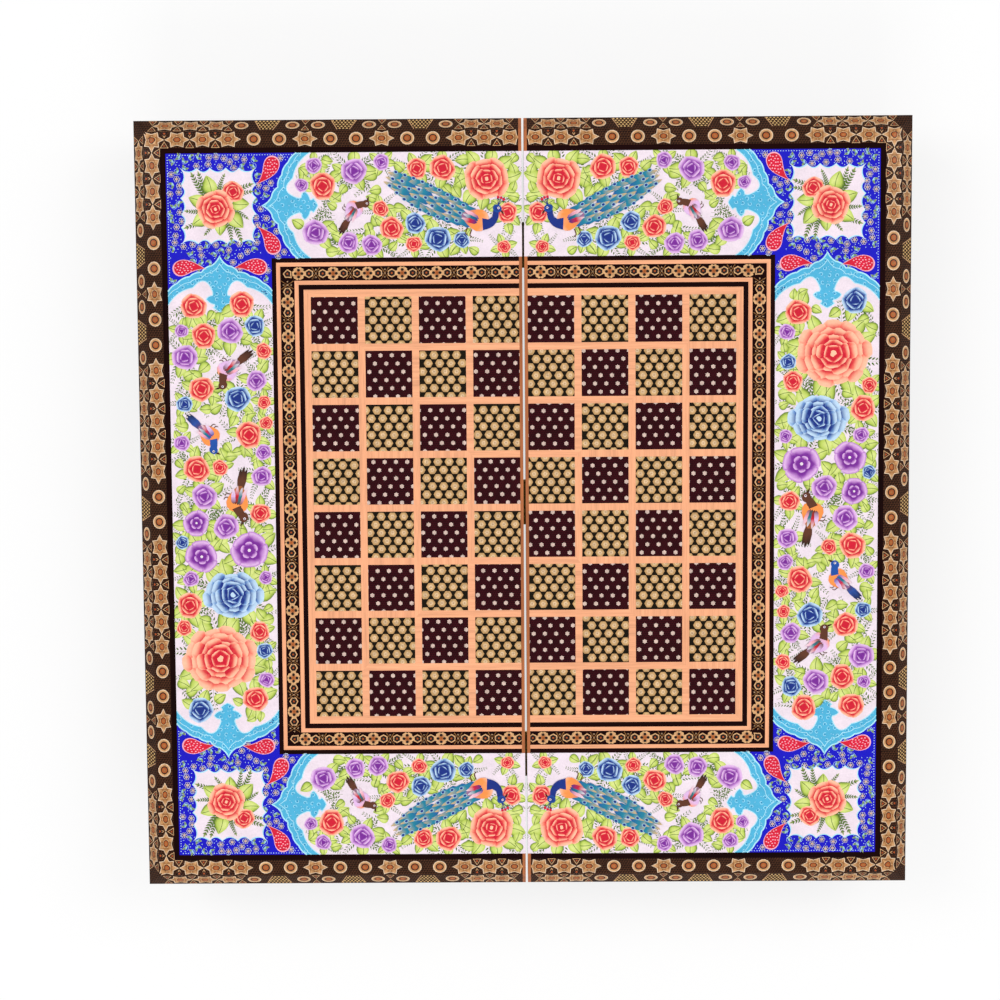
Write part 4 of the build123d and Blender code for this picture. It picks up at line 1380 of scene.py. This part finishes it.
class BOARD_OT_woodwork(bpy.types.Operator):
    """Gives every CAD node its wood, veneer, mosaic or metal."""

    bl_idname = "board.woodwork"
    bl_label = "Woodwork"

    def execute(self, context):
        colours = context.scene.board_colours
        finishes = {
            "walnut_x": wood("oiled_walnut_long", colours.walnut, 1.8, 0.8, 40, "X", roughness=0.5),
            "walnut_y": wood("oiled_walnut", colours.walnut, 1.8, 0.8, 40, "Y", roughness=0.5),
            "walnut_field": wood("walnut_veneer", colours.field, 1.6, 1.1, 60, "Y"),
            "plywood": wood("birch_plywood", linear("#C8A47C"), 1.25, 0.6, 30, "X", coat=0.0, roughness=0.6),
            "ebony": wood(
                "ebonised_stringing", colours.stringing, 1.7, 0.4, 20, "mitred", 0.2,
                coat=0.03, roughness=0.55, specular=0.02,
            ),
            "sycamore": wood("sycamore_strip", colours.sycamore, 1.22, 0.5, 18, "mitred", 0.22),
            "spine_wood": wood("cherry_strip", linear("#A05E38"), 1.4, 0.5, 24, "Y", 0.3),
            "point_light": wood("maple_points", linear("#D8AE78"), 1.22, 0.7, 30, "Y", 0.25),
            "dark_ground": mosaic("burgundy_mosaic", "#3C0610", "#240409", "#120205", 1.3),
            "disc_ground": mosaic("black_mosaic", "#20180A", "#0C0A04", "#060402", 1.3),
            "star_ground": mosaic("brown_star_mosaic", "#4E2E1C", "#140A06", "#0A0403", 1.5),
            "side_mosaic": mosaic("side_veneer_mosaic", "#94623C", "#34190C", "#140A06", 2.0, True),
            "cap_mosaic": mosaic("cap_mosaic", "#B0885C", "#4A2A18", "#180C06", 1.5),
            "white_ground": painted_ground(),
            "brass": satin_brass(),
        }
        for half, _ in HALVES:
            for name, finish in CAD_FINISHES.items():
                dress(f"{half}_{name}", finishes[finish])
        dress("hinge_pins", finishes["brass"])
        return {"FINISHED"}


class BOARD_OT_chess_inlay(bpy.types.Operator):
    """Sets the dots of the dark squares and the discs of the light ones."""

    bl_idname = "board.chess_inlay"
    bl_label = "Chess inlay"

    def execute(self, context):
        dots, discs = chess_inlay(sizes_of(context))
        surface = lacquered_inlay()
        dots.write("square_dots", surface, "dark_square")
        discs.write("square_discs", surface, "light_square")
        return {"FINISHED"}


class BOARD_OT_edge_inlay(bpy.types.Operator):
    """Sets the two rows of stars of the moulding and the chain between the light lines."""

    bl_idname = "board.edge_inlay"
    bl_label = "Edge inlay"

    def execute(self, context):
        surface = bpy.data.materials["khatam_inlay_under_lacquer"]
        moulding_inlay(sizes_of(context)).write("moulding_stars", surface, "edge_inlay")
        chain_border(sizes_of(context)).write("chain_inlay", surface, "chain_inlay")
        field_inlay().write("field_rosette", surface, "field_star")
        return {"FINISHED"}


class BOARD_OT_painted_border(bpy.types.Operator):
    """Paints the cobalt corners, cartouche heads, medallions and paisleys."""

    bl_idname = "board.painted_border"
    bl_label = "Painted border"

    def execute(self, context):
        surface = lacquered_paint()
        sizes = sizes_of(context)
        painted_grounds(sizes).write("painted_grounds", surface, "painted_ground")
        paisleys().write("paisleys", surface, "painted_ground")
        cobalt_ornament(sizes).write("cobalt_ornament", surface, "painted_ground")
        turquoise_ornament(sizes).write("turquoise_ornament", surface, "painted_ground")
        return {"FINISHED"}


class BOARD_OT_flowers(bpy.types.Operator):
    """Paints the flowers, leaves and birds of the white reserves."""

    bl_idname = "board.flowers"
    bl_label = "Flowers and birds"

    def execute(self, context):
        surface = bpy.data.materials["gouache_under_lacquer"]
        sizes = sizes_of(context)
        long_panel(sizes).write("long_panel_flowers", surface, "painted_ground")
        side_panel(sizes).write("side_panel_flowers", surface, "painted_ground")
        return {"FINISHED"}


CLOSED_DROP = 0.0385  # the closing half folds underneath and lands on the floor this far down


def seen_rays(tree):
    """1 for the rays by which the camera sees a thing: its own, and those off gloss or through glass."""
    path = add(tree, "LightPath")
    seen = path.outputs["Is Camera Ray"]
    for kind in ("Is Glossy Ray", "Is Transmission Ray"):
        seen = add(tree, "Math", {0: seen, 1: path.outputs[kind]}, operation="MAXIMUM").outputs[0]
    return seen


def backdrop_material():
    """Matt white paper that still shows the object's shadow, and is clear when it is seen from below."""
    material, tree = new_material("white_paper")
    share = add(tree, "Math", {0: seen_rays(tree), 1: 0.72}, operation="MULTIPLY")
    paper = add(tree, "BsdfDiffuse", {"Color": (0.86, 0.86, 0.86, 1)})
    glow = add(tree, "Emission", {"Color": (1, 1, 1, 1), "Strength": 1.0})
    lit = add(tree, "MixShader", {0: share.outputs[0], 1: paper.outputs[0], 2: glow.outputs[0]})
    clear = add(tree, "BsdfTransparent")
    below = add(tree, "NewGeometry")
    both = add(tree, "MixShader", {0: below.outputs["Backfacing"], 1: lit.outputs[0], 2: clear.outputs[0]})
    add(tree, "OutputMaterial", {"Surface": both.outputs[0]})
    return material


def soft_lamp(name, place, size, power):
    lamp = bpy.data.lights.new(name, "AREA")
    lamp.shape, lamp.size, lamp.energy = "SQUARE", size, power
    piece = bpy.data.objects.new(name, lamp)
    piece.location = place
    piece.rotation_mode = "QUATERNION"
    piece.rotation_quaternion = (-Vector(place)).to_track_quat("-Z", "Y")
    bpy.context.scene.collection.objects.link(piece)


class BOARD_OT_stage(bpy.types.Operator):
    """Lays the white floor, sets the lamps and the sky, and places the photograph's camera."""

    bl_idname = "board.stage"
    bl_label = "Stage"

    def execute(self, context):
        stage = context.scene.board_stage
        corners = np.array([[-4, -4], [4, -4], [4, 4], [-4, 4]], float)
        mesh = bpy.data.meshes.new("floor")
        mesh.from_pydata([(x, y, -CLOSED_DROP) for x, y in corners], [], [(0, 1, 2, 3)])
        mesh.materials.append(backdrop_material())
        floor = bpy.data.objects.new("floor", mesh)
        context.scene.collection.objects.link(floor)

        for side, place in (("left", (-1.6, 0.9, 2.2)), ("right", (1.6, 0.9, 2.2)), ("front", (0, -2.2, 1.6))):
            soft_lamp(f"lamp_{side}", place, 1.4, stage.lamp)

        world = bpy.data.worlds.new("sky")
        world.use_nodes = True
        tree = world.node_tree
        tree.nodes.clear()
        strength = add(tree, "MapRange", {"Value": seen_rays(tree), "To Min": stage.sky, "To Max": 1.0})
        sky = add(tree, "Background", {"Color": (1, 1, 1, 1), "Strength": strength.outputs[0]})
        add(tree, "OutputWorld", {"Surface": sky.outputs[0]})
        context.scene.world = world

        lens = bpy.data.cameras.new("camera")
        lens.lens, lens.sensor_width, lens.clip_start = stage.lens, 36.0, 0.01
        camera = bpy.data.objects.new("camera", lens)
        camera.location = (-0.0040, 0.1265, 1.3865 + FACE_Z * MM)
        camera.rotation_euler = (-0.0876, 0.0080, -0.0070)
        context.scene.collection.objects.link(camera)
        context.scene.camera = camera
        context.scene.view_settings.view_transform = "Standard"
        return {"FINISHED"}


class BOARD_PT_panel(bpy.types.Panel):
    """Lists the board's operators."""

    bl_idname = "BOARD_PT_panel"
    bl_label = "Inlaid Board"
    bl_space_type = "VIEW_3D"
    bl_region_type = "UI"
    bl_category = "Inlaid Board"

    def draw(self, context):
        for operator in OPERATORS:
            self.layout.operator(operator.bl_idname)


OPERATORS = (
    BOARD_OT_woodwork, BOARD_OT_chess_inlay, BOARD_OT_edge_inlay, BOARD_OT_painted_border, BOARD_OT_flowers,
    BOARD_OT_stage,
)
CLASSES = (BoardSizes, BoardColours, BoardStage, *OPERATORS, BOARD_PT_panel)


def register():
    for made in CLASSES:
        bpy.utils.register_class(made)
    bpy.types.Scene.board_sizes = bpy.props.PointerProperty(type=BoardSizes)
    bpy.types.Scene.board_colours = bpy.props.PointerProperty(type=BoardColours)
    bpy.types.Scene.board_stage = bpy.props.PointerProperty(type=BoardStage)


def unregister():
    del bpy.types.Scene.board_stage
    del bpy.types.Scene.board_colours
    del bpy.types.Scene.board_sizes
    for made in reversed(CLASSES):
        bpy.utils.unregister_class(made)


def main():
    register()
    bpy.ops.board.woodwork()
    bpy.ops.board.chess_inlay()
    bpy.ops.board.edge_inlay()
    bpy.ops.board.painted_border()
    bpy.ops.board.flowers()
    bpy.ops.board.stage()


if __name__ == "__main__":
    main()
